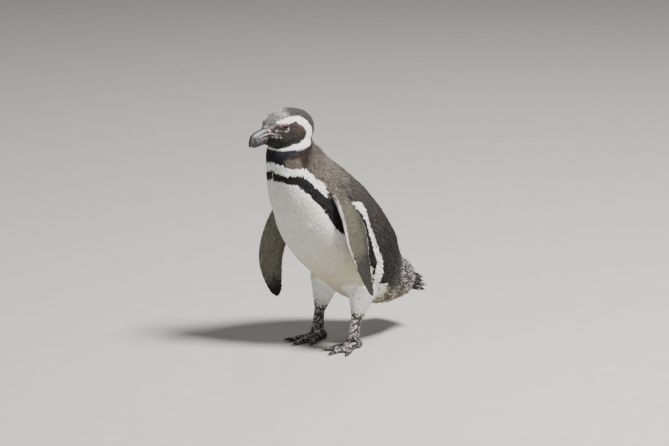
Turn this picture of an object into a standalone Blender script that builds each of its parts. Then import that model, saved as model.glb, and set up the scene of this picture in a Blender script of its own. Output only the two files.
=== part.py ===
"""Adult Magellanic penguin, life size, standing with its body leaning forward and both flippers hanging.

Metres, +Z up. It faces -Y, its left side is +X, the floor under its soles is z = 0, and the origin lies under
the middle of the whole bird's box.
The feathered body is one smooth shape parted by thin flat cuts into head, neck and trunk. Flippers,
legs, tail, bill, eyes and claws are solids of their own, cut back where they meet what carries them.
"""

import math

import bmesh
import bpy
import numpy as np
from mathutils import Matrix, Vector

MM = 0.001
GAP = 0.3 * MM  # left between pieces that touch
RING = 28  # points round a lofted body
# How a rounded skin is made: grid (mm), smoothing rounds, and about how many triangles it is thinned to.
BODY_SKIN = (4, 6, 3400)
FOOT_SKIN = (1.6, 3, 640)

# Where the parts sit (mm), measured from the floor under the belly.
HEAD_CENTRE = (-3, -86.5, 414.5)
HEAD_TURN, HEAD_PITCH = 0, 2.5  # degrees: to its right, and down
EYE_PLACE = (20, 24.8, 14.5)  # ahead of, beside and above the head's centre
EYE_RADIUS = 6.6
FLIPPER_LINE = {  # middle line of each flipper, from inside the shoulder to the tip
    "left": [(44, -25, 324), (80, -22, 290), (102, -9, 236), (107, 7, 174), (110, 27, 110)],
    "right": [(-40, -14, 316), (-70, -13, 276), (-103, -20, 212), (-120, -26, 146), (-121, -14, 73)],
}
ANKLE = {"left": (46, 46, 60), "right": (-44, 32, 62)}
TOE_BASE = {"left": (52, 30, 13), "right": (-44, 25, 13)}
TOE_OUT = {"left": 13, "right": -12}  # degrees the middle toe turns outwards

# Neck and trunk, from inside the head to the rump: centre y and z, half width, depth to belly, depth to back.
BODY = [
    (-82, 410, 30, 30, 38),
    (-80, 386, 40, 40, 56),
    (-77, 364, 47, 45, 63),
    (-66, 341, 57, 56, 66),
    (-47, 313, 69, 71, 71),
    (-20, 282, 81, 86, 79),
    (8, 245, 89, 92, 90.5),
    (34, 206, 92, 86, 97.5),
    (62, 168, 91, 74, 97.5),
    (94, 134, 83, 65, 90.5),
    (130, 112, 68, 54, 72),
    (162, 103, 54, 43, 52),
    (186, 101, 43, 35, 38),
    (200, 99, 28, 22, 25),
]

# Head, from nape to face: place along the head's axis, height of its middle, half width, depth up, depth down.
HEAD = [
    (-57.5, 3, 12, 13, 13),
    (-51.5, 3, 24, 25, 26),
    (-36.5, 2, 32, 35, 36),
    (-13, 2, 35.5, 41, 38),
    (6, 2, 36, 41.5, 37),
    (21, 2, 32.5, 37, 32),
    (33, 1, 25.5, 27, 25),
    (42, 0, 17, 16, 18),
    (47, -1, 9, 7, 10),
]

# Horn of the bill, from under the feathers to the tip: place, height, half width, depth up, depth down.
BILL_UPPER = [
    (30, 2, 12.5, 13, 3),
    (40, 2, 11.5, 13, 3),
    (52, 1.5, 9.8, 12, 3),
    (62, 0.5, 8.4, 11, 3),
    (70.5, -1.5, 6.8, 10, 3.5),
    (77, -5, 4.8, 8.6, 5),
    (81, -10, 2.6, 5, 4.5),
]
BILL_LOWER = [
    (30, -4, 11.5, 2, 11),
    (40, -4, 10.6, 2, 11),
    (52, -4.2, 8.8, 1.8, 10.6),
    (62, -5, 7, 1.6, 9.4),
    (71, -6.8, 5, 1.2, 6.4),
    (75.5, -8, 2.6, 0.8, 3),
]

# Flipper, from shoulder to tip: share of its length, edge ahead of its middle line, edge behind, half thickness.
FLIPPER = [
    (0.00, 18, 17, 14),
    (0.14, 20, 19, 11),
    (0.30, 24, 23, 7.2),
    (0.46, 26, 28, 5.4),
    (0.62, 25, 28, 4.3),
    (0.78, 20.5, 25, 3.4),
    (0.90, 14, 20.5, 2.6),
    (0.97, 7, 15.5, 1.9),
    (1.00, -1, 8, 1.2),
]
# Turn of the flipper's blade about its length: 0 lies along the body, and more tucks the rear edge inwards.
BLADE_TURN = {"left": [(0, 0), (0.38, -9), (0.7, 16), (1, 30)], "right": [(0, 16), (1, 34)]}  # share, degrees

# Leg under the feathers and the bare shank: share of the way down, half width, half depth.
THIGH_TOP = (-1, 20, 72)  # from the ankle: outwards, back and up
THIGH = [(0.0, 31, 36), (0.25, 29, 33), (0.5, 23, 27), (0.75, 16.5, 20), (0.92, 13, 15.5), (1.0, 11, 13)]
SHANK = [(0.0, 9.5, 11), (0.3, 9.5, 10.5), (0.6, 10.5, 10), (0.85, 13, 11), (1.0, 14, 10)]
TOES = {"inner": (-27, 50), "middle": (0, 62), "outer": (27, 55)}  # degrees from the middle toe, and length
TOE_RADIUS = (8.2, 4.6)  # at root and tip
WEB_REACH = 0.86  # share of each toe that the web runs along
WEB_LOW, WEB_THICK = 0.6, 3.4
WEB_BAY = 0.22  # how far the web's edge curves in between two toes
HEEL_BACK = 19  # how far the pad reaches behind the toes' root
HEEL = [(0, 8.5, 7.7), (0.3, 12, 7.8), (1, 15, 7.8)]  # share of the way forward, half width, half depth
HIND_TOE = [(-6, 2, 14), (-17, -6, 6)]  # from the toes' root outwards and back, and above the floor
HIND_ROWS = [(0, 5, 5), (0.5, 4.2, 4.2), (1, 3.2, 3.2)]
SOLE_CUT = 0.5  # taken off below, so that the foot stands on a flat
CLAW_LENGTH, CLAW_RADIUS = 14, 3.3
HIND_CLAW = {"root": (-15.5, -5, 6.2), "way": (-0.8, -0.6, 0), "length": 8, "radius": 2.2}

# Tail fan behind the rump: share of its length, half width, half thickness.
TAIL_ROOT, TAIL_END = (166, 105), (230, 89)  # y and z of its middle line
TAIL = [
    (0.00, 32, 34),
    (0.30, 37, 30),
    (0.50, 39, 24),
    (0.70, 38, 17),
    (0.88, 33, 10.5),
    (0.97, 25, 6.5),
    (1.00, 17, 3.5),
]

# Flat cuts through the feathered body: a point on each (y, z) and the way its normal leans.
NECK_CUT = {"point": (-82, 374), "normal": (-0.24, 0.971)}
TRUNK_CUT = {"point": (-62, 337), "normal": (-0.50, 0.866)}


def smooth_rows(rows, steps):
    """Rows of numbers made finer: a Catmull-Rom curve through them, with this many steps between two rows."""
    table = np.array(rows, float)
    padded = np.vstack([2 * table[0] - table[1], table, 2 * table[-1] - table[-2]])
    fine = []
    for i in range(len(table) - 1):
        p0, p1, p2, p3 = padded[i : i + 4]
        for t in np.arange(steps) / steps:
            fine.append(
                0.5 * (2 * p1 + (p2 - p0) * t + (2 * p0 - 5 * p1 + 4 * p2 - p3) * t**2
                       + (3 * p1 - p0 - 3 * p2 + p3) * t**3)
            )
    return np.array(fine + [table[-1]])


def along_line(line, share):
    """Points at these shares of a line's length."""
    length = np.concatenate([[0], np.cumsum(np.linalg.norm(np.diff(line, axis=0), axis=1))])
    return np.column_stack([np.interp(share, length / length[-1], line[:, i]) for i in range(3)])


def unit(v):
    return v / np.linalg.norm(v, axis=-1, keepdims=True)


def loft(name, centres, side, up, width, above, below, points=RING):
    """A closed body of oval rings, each with a half width and a depth above and below its centre."""
    angle = np.linspace(0, 2 * math.pi, points, endpoint=False)
    across = np.sin(angle)[None, :, None] * np.asarray(width)[:, None, None] * side[:, None, :]
    height = np.where(np.cos(angle)[None, :] > 0, np.asarray(above)[:, None], np.asarray(below)[:, None])
    rings = centres[:, None, :] + across + (np.cos(angle)[None, :] * height)[..., None] * up[:, None, :]
    return closed_rings(name, rings * MM)


def closed_rings(name, rings):
    """An object whose skin runs from ring to ring, with a fan over each end."""
    bm = bmesh.new()
    loops = [[bm.verts.new(p) for p in ring] for ring in rings]
    count = len(loops[0])
    for here, after in zip(loops, loops[1:]):
        for i in range(count):
            j = (i + 1) % count
            bm.faces.new((here[i], here[j], after[j], after[i]))
    for ring, loop in ((rings[0], loops[0]), (rings[-1], loops[-1])):
        middle = bm.verts.new(ring.mean(axis=0))
        for i in range(count):
            bm.faces.new((loop[i], loop[(i + 1) % count], middle))
    bmesh.ops.recalc_face_normals(bm, faces=bm.faces)
    return from_bmesh(name, bm)


def from_bmesh(name, bm):
    mesh = bpy.data.meshes.new(name)
    bm.to_mesh(mesh)
    bm.free()
    obj = bpy.data.objects.new(name, mesh)
    bpy.context.scene.collection.objects.link(obj)
    return obj


def evaluated(obj):
    """The object's mesh with its modifiers made part of it."""
    graph = bpy.context.evaluated_depsgraph_get()
    mesh = bpy.data.meshes.new_from_object(obj.evaluated_get(graph))
    obj.modifiers.clear()
    obj.data = mesh
    return obj


def joined(name, pieces):
    """One object that holds the meshes of the pieces."""
    bm = bmesh.new()
    for piece in pieces:
        bm.from_mesh(piece.data)
        bpy.data.objects.remove(piece)
    return from_bmesh(name, bm)


def grown_together(name, pieces, how):
    """The pieces as one rounded skin, remade on a fine grid, smoothed and thinned."""
    voxel, rounds, triangles = how
    obj = joined(name, pieces)
    remesh = obj.modifiers.new("skin", "REMESH")
    remesh.mode, remesh.voxel_size = "VOXEL", voxel * MM
    smooth = obj.modifiers.new("round", "SMOOTH")
    smooth.factor, smooth.iterations = 0.5, rounds
    evaluated(obj)
    thin = obj.modifiers.new("thin", "DECIMATE")
    thin.ratio = triangles / (2 * len(obj.data.polygons))
    return evaluated(obj)


def grown(obj, by):
    """A copy of the object with its skin moved out by a distance."""
    copy = bpy.data.objects.new(obj.name + "_grown", obj.data.copy())
    bpy.context.scene.collection.objects.link(copy)
    push = copy.modifiers.new("out", "DISPLACE")
    push.strength, push.mid_level = by, 0
    return evaluated(copy)


def cut_away(obj, tools):
    """Takes each tool's space out of the object, which keeps its largest piece."""
    for tool in tools:
        cut = obj.modifiers.new("cut", "BOOLEAN")
        cut.operation, cut.solver, cut.object = "DIFFERENCE", "EXACT", tool
        evaluated(obj)
    return keep_largest(obj)


def keep_largest(obj):
    """Drops loose bits that a cut leaves."""
    bm = bmesh.new()
    bm.from_mesh(obj.data)
    bm.verts.ensure_lookup_table()
    group, sizes = {}, []
    for start in bm.verts:
        if start.index in group:
            continue
        stack, found = [start], 0
        group[start.index] = len(sizes)
        while stack:
            vert = stack.pop()
            found += 1
            for edge in vert.link_edges:
                other = edge.other_vert(vert)
                if other.index not in group:
                    group[other.index] = len(sizes)
                    stack.append(other)
        sizes.append(found)
    best = sizes.index(max(sizes))
    bmesh.ops.delete(bm, geom=[v for v in bm.verts if group[v.index] != best], context="VERTS")
    bmesh.ops.triangulate(bm, faces=bm.faces)
    bm.to_mesh(obj.data)
    bm.free()
    return obj


def part_of(whole, name, planes):
    """A copy of the whole kept on the normal's side of each plane, with the cut faces filled."""
    bm = bmesh.new()
    bm.from_mesh(whole.data)
    for point, normal in planes:
        geom = bm.verts[:] + bm.edges[:] + bm.faces[:]
        cut = bmesh.ops.bisect_plane(bm, geom=geom, plane_co=point, plane_no=normal, clear_inner=True)
        edges = [e for e in cut["geom_cut"] if isinstance(e, bmesh.types.BMEdge)]
        bmesh.ops.holes_fill(bm, edges=edges, sides=0)
    bmesh.ops.triangulate(bm, faces=bm.faces)
    bmesh.ops.recalc_face_normals(bm, faces=bm.faces)
    return from_bmesh(name, bm)


def frame_along(centres, side_hint):
    """For each point of a line, a side direction near the hint and an up direction, both square to the line."""
    along = unit(np.gradient(centres, axis=0))
    hint = np.broadcast_to(np.asarray(side_hint, float), centres.shape)
    side = unit(hint - (hint * along).sum(axis=1, keepdims=True) * along)
    return side, np.cross(along, side)


def remove(objects):
    for obj in objects:
        bpy.data.objects.remove(obj)


def material(name, colour, roughness):
    """A Principled finish: linear colour and roughness."""
    made = bpy.data.materials.new(name)
    made.use_nodes = True
    shader = made.node_tree.nodes["Principled BSDF"]
    shader.inputs["Base Color"].default_value = (*colour, 1)
    shader.inputs["Roughness"].default_value = roughness
    return made


def finish(obj, look):
    """Gives a part its material, and smooth shading except over sharp edges."""
    obj.data.materials.clear()
    obj.data.materials.append(look)
    obj.data.shade_smooth()
    obj.data.set_sharp_from_angle(angle=math.radians(50))
    return obj


def head_frame():
    """Rows of a rotation: forward along the bill, to the bird's left, and up out of the crown."""
    turn, pitch = math.radians(HEAD_TURN), math.radians(HEAD_PITCH)
    forward = np.array([-math.sin(turn) * math.cos(pitch), -math.cos(turn) * math.cos(pitch), -math.sin(pitch)])
    left = np.array([math.cos(turn), -math.sin(turn), 0])
    return forward, left, np.cross(forward, left)


def in_head(ahead, beside, above):
    forward, left, up = head_frame()
    return np.array(HEAD_CENTRE) + ahead * forward + beside * left + above * up


def head_loft(name, rows, steps, points=RING):
    """A loft along the head's axis, from rows of place, height, half width, depth up and depth down."""
    fine = smooth_rows(rows, steps)
    forward, left, up = head_frame()
    centres = np.array([in_head(ahead, 0, height) for ahead, height in fine[:, :2]])
    count = (len(fine), 1)
    width, above, below = fine[:, 2:].T
    return loft(name, centres, np.tile(left, count), np.tile(up, count), width, above, below, points)


def eyeball(side):
    """A round eye, sunk in the side of the head."""
    sign = 1 if side == "left" else -1
    ahead, beside, above = EYE_PLACE
    bm = bmesh.new()
    bmesh.ops.create_uvsphere(bm, u_segments=12, v_segments=7, radius=EYE_RADIUS * MM)
    turned = Matrix.Rotation(math.radians(90), 4, "Y")
    bmesh.ops.transform(bm, matrix=turned, verts=bm.verts)
    bmesh.ops.translate(bm, vec=Vector(in_head(ahead, sign * beside, above) * MM), verts=bm.verts)
    return from_bmesh("eye_" + side, bm)


def body_loft():
    """Neck and trunk: oval rings square to a centre line that leans back from head to rump."""
    fine = smooth_rows(BODY, 3)
    centres = np.column_stack([np.zeros(len(fine)), fine[:, 0], fine[:, 1]])
    centres[:, 0] = np.interp(fine[:, 1], (364, 410), (0, HEAD_CENTRE[0]))
    side, back = frame_along(centres, (-1, 0, 0))
    return loft("body", centres, side, back, fine[:, 2], fine[:, 4], fine[:, 3])


def tail_fan():
    """A stiff wedge of tail feathers, wide and thinning to its end."""
    fine = smooth_rows(TAIL, 2)
    root, end = np.array([0, *TAIL_ROOT], float), np.array([0, *TAIL_END], float)
    centres = root + fine[:, :1] * (end - root)
    side, up = frame_along(centres, (-1, 0, 0))
    return loft("tail", centres, side, up, fine[:, 1], fine[:, 2], fine[:, 2], 16)


def flipper(side):
    """A bowed blade with a round front edge and a thin rear one, turned a little along its length."""
    sign = 1 if side == "left" else -1
    fine = smooth_rows(FLIPPER, 2)
    share = fine[:, 0]
    middle = along_line(smooth_rows(FLIPPER_LINE[side], 8), share)
    along = unit(np.gradient(middle, axis=0))
    turn = np.radians(np.interp(share, *zip(*BLADE_TURN[side])))
    rearward = np.column_stack([-sign * np.sin(turn), np.cos(turn), np.zeros(len(turn))])
    rearward = unit(rearward - (rearward * along).sum(axis=1, keepdims=True) * along)
    outward = sign * np.cross(rearward, along)
    angle = np.linspace(0, 2 * math.pi, 14, endpoint=False)
    place = np.cos(angle)  # 1 at the front edge, -1 at the rear
    half = (fine[:, 1] + fine[:, 2]) / 2
    centre = (fine[:, 1] - fine[:, 2]) / 2
    chord = centre[:, None] + half[:, None] * place
    bulge = np.sin(angle) * (0.75 + 0.35 * place)
    thick = fine[:, 3:] * bulge
    rings = middle[:, None] - chord[..., None] * rearward[:, None] + thick[..., None] * outward[:, None]
    return closed_rings("flipper_" + side, rings * MM)


def limb(name, top, end, rows, points=16):
    """A tapering limb between two points, from rows of share, half width and half depth."""
    fine = smooth_rows(rows, 2)
    top, end = np.array(top, float), np.array(end, float)
    centres = top + fine[:, :1] * (end - top)
    side, front = frame_along(centres, (1, 0, 0))
    return loft(name, centres, side, front, fine[:, 1], fine[:, 2], fine[:, 2], points)


def thigh(side):
    """The feathered leg, from inside the belly to the ankle."""
    x, y, z = ANKLE[side]
    return limb("leg_" + side, beside(side, ANKLE[side], THIGH_TOP), (x, y, z - 6), THIGH)


def beside(side, place, offset):
    """A place moved outwards, back and up from the bird's middle."""
    sign = 1 if side == "left" else -1
    return np.array(place, float) + np.array([sign, 1, 1]) * offset


def toe_line(side, turn, length):
    """Start and end of a toe, and its heading over the floor."""
    sign = 1 if side == "left" else -1
    heading = math.radians(TOE_OUT[side] + turn)
    way = np.array([sign * math.sin(heading), -math.cos(heading), 0])
    start = np.array(TOE_BASE[side], float) + 4 * way
    start[2] = TOE_RADIUS[0] * 0.8
    end = start + length * way
    end[2] = TOE_RADIUS[1] * 0.8
    return start, end, way


def toe(side, turn, length):
    """A padded toe that swells a little at each joint."""
    start, end, _ = toe_line(side, turn, length)
    share = np.linspace(0, 1, 13)
    radius = np.interp(share, (0, 1), TOE_RADIUS) * (1 + 0.07 * np.sin(share * 4 * math.pi))
    centres = start + share[:, None] * (end - start)
    side_way, up = frame_along(centres, (0, 0, 1))
    return loft("toe", centres, up, side_way, radius * 0.95, radius, radius * 0.85, 12)


def web(side):
    """A thin pad between the toes, with its edge curving in from toe to toe."""
    back = np.array(TOE_BASE[side], float) + (0, 6, 0)
    outline = [back]
    ends = []
    for turn, length in TOES.values():
        start, end, _ = toe_line(side, turn, length)
        ends.append(start + WEB_REACH * (end - start))
    for here, after in zip(ends, ends[1:]):
        for share in np.linspace(0, 1, 7)[:-1]:
            edge = here + share * (after - here)
            outline.append(edge + (back - edge) * WEB_BAY * math.sin(math.pi * share))
    outline.append(ends[-1])
    bm = bmesh.new()
    lower = [bm.verts.new((p[0] * MM, p[1] * MM, WEB_LOW * MM)) for p in outline]
    face = bm.faces.new(lower)
    made = bmesh.ops.extrude_face_region(bm, geom=[face])
    raised = [v for v in made["geom"] if isinstance(v, bmesh.types.BMVert)]
    bmesh.ops.translate(bm, vec=(0, 0, WEB_THICK * MM), verts=raised)
    bmesh.ops.recalc_face_normals(bm, faces=bm.faces)
    return from_bmesh("web", bm)


def heel(side):
    """The pad under the joint where the toes begin."""
    x, y, _ = TOE_BASE[side]
    return limb("heel", (x, y + HEEL_BACK, 7), (x, y - 12, 7), HEEL, 12)


def hind_toe(side):
    """The small first toe, on the inner side of the heel."""
    x, y, _ = TOE_BASE[side]
    top, end = [beside(side, (x, y, 0), offset) for offset in HIND_TOE]
    return limb("hind_toe", top, end, HIND_ROWS, 10)


def foot(side):
    """Bare shank, three toes, web and hind toe as one skin, flat under the toes."""
    ankle = np.array(ANKLE[side], float)
    base = np.array(TOE_BASE[side], float)
    pieces = [limb("shank", ankle + (ankle - base) * 0.25, base, SHANK), web(side), hind_toe(side), heel(side)]
    pieces += [toe(side, turn, length) for turn, length in TOES.values()]
    obj = grown_together("foot_" + side, pieces, FOOT_SKIN)
    floor = Vector((0, 0, SOLE_CUT * MM))
    flat = part_of(obj, "foot_" + side + "_flat", [(floor, Vector((0, 0, 1)))])
    obj.data = flat.data
    bpy.data.objects.remove(flat)
    obj.data.transform(Matrix.Translation(-floor))
    return obj


def claw_rings(root, way, length, radius):
    """A cone that curves down to a blunt point."""
    share = np.linspace(0, 1, 5)
    centres = root + (share * length)[:, None] * way
    centres[:, 2] -= 1.2 * share**2
    side_way, up = frame_along(centres, (0, 0, 1))
    thickness = radius * (1 - 0.86 * share)
    return centres, up, side_way, thickness


def claws(side):
    """A claw on each front toe and on the hind toe."""
    made = []
    for name, (turn, length) in TOES.items():
        _, end, way = toe_line(side, turn, length)
        end[2] = CLAW_RADIUS + 1.4
        centres, across, up, thick = claw_rings(end - 3 * way, way, CLAW_LENGTH, CLAW_RADIUS)
        made.append(loft(f"claw_{side}_{name}", centres, across, up, thick, thick, thick * 0.8, 6))
    x, y, _ = TOE_BASE[side]
    root = beside(side, (x, y, 0), HIND_CLAW["root"])
    way = beside(side, (0, 0, 0), HIND_CLAW["way"])
    centres, across, up, thick = claw_rings(root, way, HIND_CLAW["length"], HIND_CLAW["radius"])
    made.append(loft(f"claw_{side}_hind", centres, across, up, thick, thick, thick * 0.8, 6))
    return made


def centred():
    """Moves every part so that the origin lies under the middle of the whole bird's box."""
    corners = np.array([v.co[:] for obj in bpy.data.objects for v in obj.data.vertices])
    middle = (corners.min(axis=0) + corners.max(axis=0)) / 2
    for obj in bpy.data.objects:
        obj.data.transform(Matrix.Translation((-middle[0], -middle[1], 0)))


def cut_plane(cut, shift):
    """A point and a normal of a cut, moved half the gap along the normal."""
    normal = Vector((0, *cut["normal"])).normalized()
    point = Vector((0, *cut["point"])) * MM
    return point + normal * shift, normal


def main():
    remove(list(bpy.data.objects))
    plumage_dark = material("dark_plumage", (0.045, 0.038, 0.035), 0.7)
    plumage_white = material("white_plumage", (0.72, 0.71, 0.67), 0.7)
    horn = material("bill_horn", (0.03, 0.03, 0.035), 0.4)
    skin = material("foot_skin", (0.03, 0.03, 0.035), 0.6)
    iris = material("eye", (0.05, 0.015, 0.01), 0.1)

    whole = grown_together("whole", [body_loft(), head_loft("head_shape", HEAD, 3)], BODY_SKIN)
    clear = grown(whole, GAP)

    half = GAP / 2
    head_up, head_normal = cut_plane(NECK_CUT, half)
    neck_low, _ = cut_plane(NECK_CUT, -half)
    neck_up, neck_normal = cut_plane(TRUNK_CUT, half)
    trunk_low, _ = cut_plane(TRUNK_CUT, -half)
    head = part_of(whole, "head", [(head_up, head_normal)])
    neck = part_of(whole, "neck", [(neck_low, -head_normal), (neck_up, neck_normal)])
    trunk = part_of(whole, "trunk", [(trunk_low, -neck_normal)])

    upper = head_loft("bill_upper", BILL_UPPER, 2, 14)
    lower = head_loft("bill_lower", BILL_LOWER, 2, 14)
    cut_away(lower, [grown(upper, GAP)])
    for bill in (upper, lower):
        finish(cut_away(bill, [clear]), horn)

    for side in ("left", "right"):
        eye = finish(eyeball(side), iris)
        socket = grown(eye, GAP)
        cut_away(head, [socket])
        leg = thigh(side)
        bare = foot(side)
        nails = claws(side)
        cut_away(leg, [clear])
        cut_away(bare, [grown(leg, GAP)])
        around = grown(bare, GAP)
        for nail in nails:
            finish(cut_away(nail, [around]), horn)
        blade = flipper(side)
        finish(cut_away(blade, [clear]), plumage_dark)
        finish(leg, plumage_white)
        finish(bare, skin)
    tail = tail_fan()
    finish(cut_away(tail, [clear]), plumage_dark)
    for part in (head, neck):
        finish(part, plumage_dark)
    finish(trunk, plumage_white)
    remove([whole] + [o for o in bpy.data.objects if o.name.split(".")[0].endswith("_grown")])
    centred()


main()
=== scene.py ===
import bpy
import numpy as np
from mathutils import Matrix, Vector


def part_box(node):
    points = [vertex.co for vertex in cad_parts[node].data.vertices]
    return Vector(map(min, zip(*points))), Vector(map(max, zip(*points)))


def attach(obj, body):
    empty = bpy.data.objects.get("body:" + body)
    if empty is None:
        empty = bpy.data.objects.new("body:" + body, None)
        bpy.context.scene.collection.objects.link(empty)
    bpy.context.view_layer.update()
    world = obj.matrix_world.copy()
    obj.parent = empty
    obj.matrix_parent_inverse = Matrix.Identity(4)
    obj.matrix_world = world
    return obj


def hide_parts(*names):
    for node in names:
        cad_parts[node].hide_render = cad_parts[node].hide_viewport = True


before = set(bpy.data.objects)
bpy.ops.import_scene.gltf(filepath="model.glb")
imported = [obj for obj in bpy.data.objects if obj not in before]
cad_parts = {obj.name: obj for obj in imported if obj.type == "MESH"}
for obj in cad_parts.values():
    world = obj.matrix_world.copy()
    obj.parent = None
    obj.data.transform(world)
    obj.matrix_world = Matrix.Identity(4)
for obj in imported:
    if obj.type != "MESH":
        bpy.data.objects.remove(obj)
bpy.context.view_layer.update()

mm = 0.001
rng = np.random.default_rng(11)

# Where things are, in mm, before the shift to the frame that the left eye's box gives.
bird = {
    "headCentre": (-3, -86.5, 414.5),
    "headPitch": 2.5,  # degrees the bill points down
    "eye": (20, 24.8, 14.5),  # ahead of, beside and above the head's centre
    "eyeRadius": 6.6,
    "ankle": {"left": (46, 46, 60), "right": (-44, 32, 62)},
    "toeBase": {"left": (52, 30, 13), "right": (-44, 25, 13)},
    "toeOut": {"left": 13, "right": -12},  # degrees the middle toe turns outwards
    "signs": {"left": 1, "right": -1},
}


def hexColour(code):  # sRGB hex to linear numbers
    part = np.array([int(code[i:i + 2], 16) for i in (1, 3, 5)]) / 255
    return np.where(part <= 0.04045, part / 12.92, ((part + 0.055) / 1.055) ** 2.4)


def unit(v):
    return v / np.maximum(np.linalg.norm(v, axis=-1, keepdims=True), 1e-9)


def ease(x, low, high):  # 0 below low, 1 above high, smooth between
    t = np.clip((x - low) / (high - low), 0, 1)
    return t * t * (3 - 2 * t)


def blend(first, second, share):
    return first + (second - first) * np.asarray(share)[..., None]


def lengthAlong(points):  # distance along a line of points from its first to each
    return np.concatenate([[0], np.cumsum(np.linalg.norm(np.diff(points, axis=0), axis=1))])


# Smooth random numbers 0 to 1 that change over about this many mm: a lattice read with eased corners.
lattice = rng.random((32, 32, 32))


def mottle(p, size, shift=0):
    q = p / size + 7.3 * shift
    low = np.floor(q).astype(int)
    part = q - low
    part = part * part * (3 - 2 * part)
    total = np.zeros(len(p))
    for corner in np.ndindex(2, 2, 2):
        weight = np.prod(np.where(corner, part, 1 - part), axis=1)
        total += weight * lattice[tuple(((low + corner) % 32).T)]
    return total


# A path is a centre line with its own side and up directions, and how far the shape reaches from it.
forward = np.array([0, -np.cos(np.radians(bird["headPitch"])), -np.sin(np.radians(bird["headPitch"]))])
toLeft = np.array([1.0, 0, 0])
crownward = np.cross(forward, toLeft)


def inHead(ahead, beside, above):  # a point by its place in the head
    return np.array(bird["headCentre"]) + np.multiply.outer(ahead, forward) + np.multiply.outer(
        beside, toLeft) + np.multiply.outer(above, crownward)


eyeLow, eyeHigh = (np.array(corner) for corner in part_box("eye_left"))
shift = (eyeLow + eyeHigh) / 2 - inHead(*bird["eye"]) * mm  # metres, from the bird's own numbers to the frame


def smoothRows(rows, steps):  # a Catmull-Rom curve through the rows, with this many steps between two
    table = np.array(rows, float)
    padded = np.vstack([2 * table[0] - table[1], table, 2 * table[-1] - table[-2]])
    p0, p1, p2, p3 = (padded[i:i + len(table) - 1, None] for i in range(4))
    t = (np.arange(steps) / steps)[None, :, None]
    fine = (2 * p1 + (p2 - p0) * t + (2 * p0 - 5 * p1 + 4 * p2 - p3) * t**2
            + (3 * p1 - p0 - 3 * p2 + p3) * t**3) / 2
    return np.vstack([fine.reshape(-1, table.shape[1]), table[-1:]])


def makePath(centre, sideHint, width, above, below, offset=0, nose=0):
    # side is the hint made square to the line, and up is square to both
    along = unit(np.gradient(centre, axis=0))
    hint = np.broadcast_to(np.asarray(sideHint, float), centre.shape)
    side = unit(hint - (hint * along).sum(axis=1, keepdims=True) * along)
    full = np.ones(len(centre))
    return {"centre": centre, "along": along, "side": side, "up": np.cross(along, side), "nose": nose,
            "length": lengthAlong(centre), "width": width * full, "offset": offset * full,
            "above": above * full, "below": below * full}


def ringGrid(path, inset, points=64, least=0.35):  # inset: mm, one number or one for each ring
    # each ring is an oval about the path: width times the sine, and depth above or below times the cosine,
    # with a power that blunts a flipper's edges
    angle = np.linspace(0, 2 * np.pi, points, endpoint=False)
    sine, cosine = np.sin(angle), np.cos(angle)
    across = path["offset"][:, None] + np.maximum(path["width"] - inset, least)[:, None] * sine
    depth = np.where(cosine > 0, path["above"][:, None], path["below"][:, None])
    rise = np.maximum(depth - np.reshape(inset, (-1, 1)), least) * (1 + path["nose"] * sine)
    rise = rise * np.sign(cosine) * np.abs(cosine) ** (0.65 if path["nose"] else 1)
    return (path["centre"][:, None] + across[..., None] * path["side"][:, None]
            + rise[..., None] * path["up"][:, None])


def placeOn(path, p):
    # for each point, the station whose ring plane it lies in, its place across and up there, its angle
    # from the underside and how far out it is, 1 being the surface
    nearest = np.empty(len(p), int)
    for start in range(0, len(p), 20000):
        gap = p[start:start + 20000, None] - path["centre"]
        plane = np.abs((gap * path["along"]).sum(axis=2))
        nearest[start:start + 20000] = np.argmin(plane + 0.06 * np.linalg.norm(gap, axis=2), axis=1)
    gap = p - path["centre"][nearest]
    across = (gap * path["side"][nearest]).sum(axis=1) - path["offset"][nearest]
    up = (gap * path["up"][nearest]).sum(axis=1)
    x = across / path["width"][nearest]
    y = up / np.where(up > 0, path["above"][nearest], path["below"][nearest])
    return {"station": nearest, "at": path["length"][nearest], "across": across, "up": up, "x": x,
            "around": np.degrees(np.arctan2(x, -y)), "angle": np.degrees(np.arctan2(np.abs(x), -y)),
            "out": np.hypot(x, y)}


# neck and trunk: centre y and z, half width, depth to belly, depth to back
trunkRows = [
    (-82, 410, 30, 30, 38), (-80, 386, 40, 40, 56), (-77, 364, 47, 45, 63), (-66, 341, 57, 56, 66),
    (-47, 313, 69, 71, 71), (-20, 282, 81, 86, 79), (8, 245, 89, 92, 90.5), (34, 206, 92, 86, 97.5),
    (62, 168, 91, 74, 97.5), (94, 134, 83, 65, 90.5), (130, 112, 68, 54, 72), (162, 103, 54, 43, 52),
    (186, 101, 43, 35, 38), (200, 99, 28, 22, 25),
]
# head, from nape to face: place along its axis, height of its middle, half width, depth up, depth down
headRows = [
    (-57.5, 3, 12, 13, 13), (-51.5, 3, 24, 25, 26), (-36.5, 2, 32, 35, 36), (-13, 2, 35.5, 41, 38),
    (6, 2, 36, 41.5, 37), (21, 2, 32.5, 37, 32), (33, 1, 25.5, 27, 25), (42, 0, 17, 16, 18),
(47, -1, 9, 7, 10), ]


def trunkPath():
    rows = smoothRows(trunkRows, 24)
    centre = np.column_stack([np.interp(rows[:, 1], (364, 410), (0, bird["headCentre"][0])), rows[:, :2]])
    return makePath(centre, (-1, 0, 0), rows[:, 2], rows[:, 4], rows[:, 3])


def headSection(rows):  # a path straight ahead in the head, level from side to side
    ahead, above = rows[:, 0], rows[:, 1]
    path = makePath(inHead(ahead, 0 * ahead, above), toLeft, rows[:, 2], rows[:, 3], rows[:, 4])
    path["side"][:], path["up"][:] = toLeft, crownward
    return path


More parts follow.
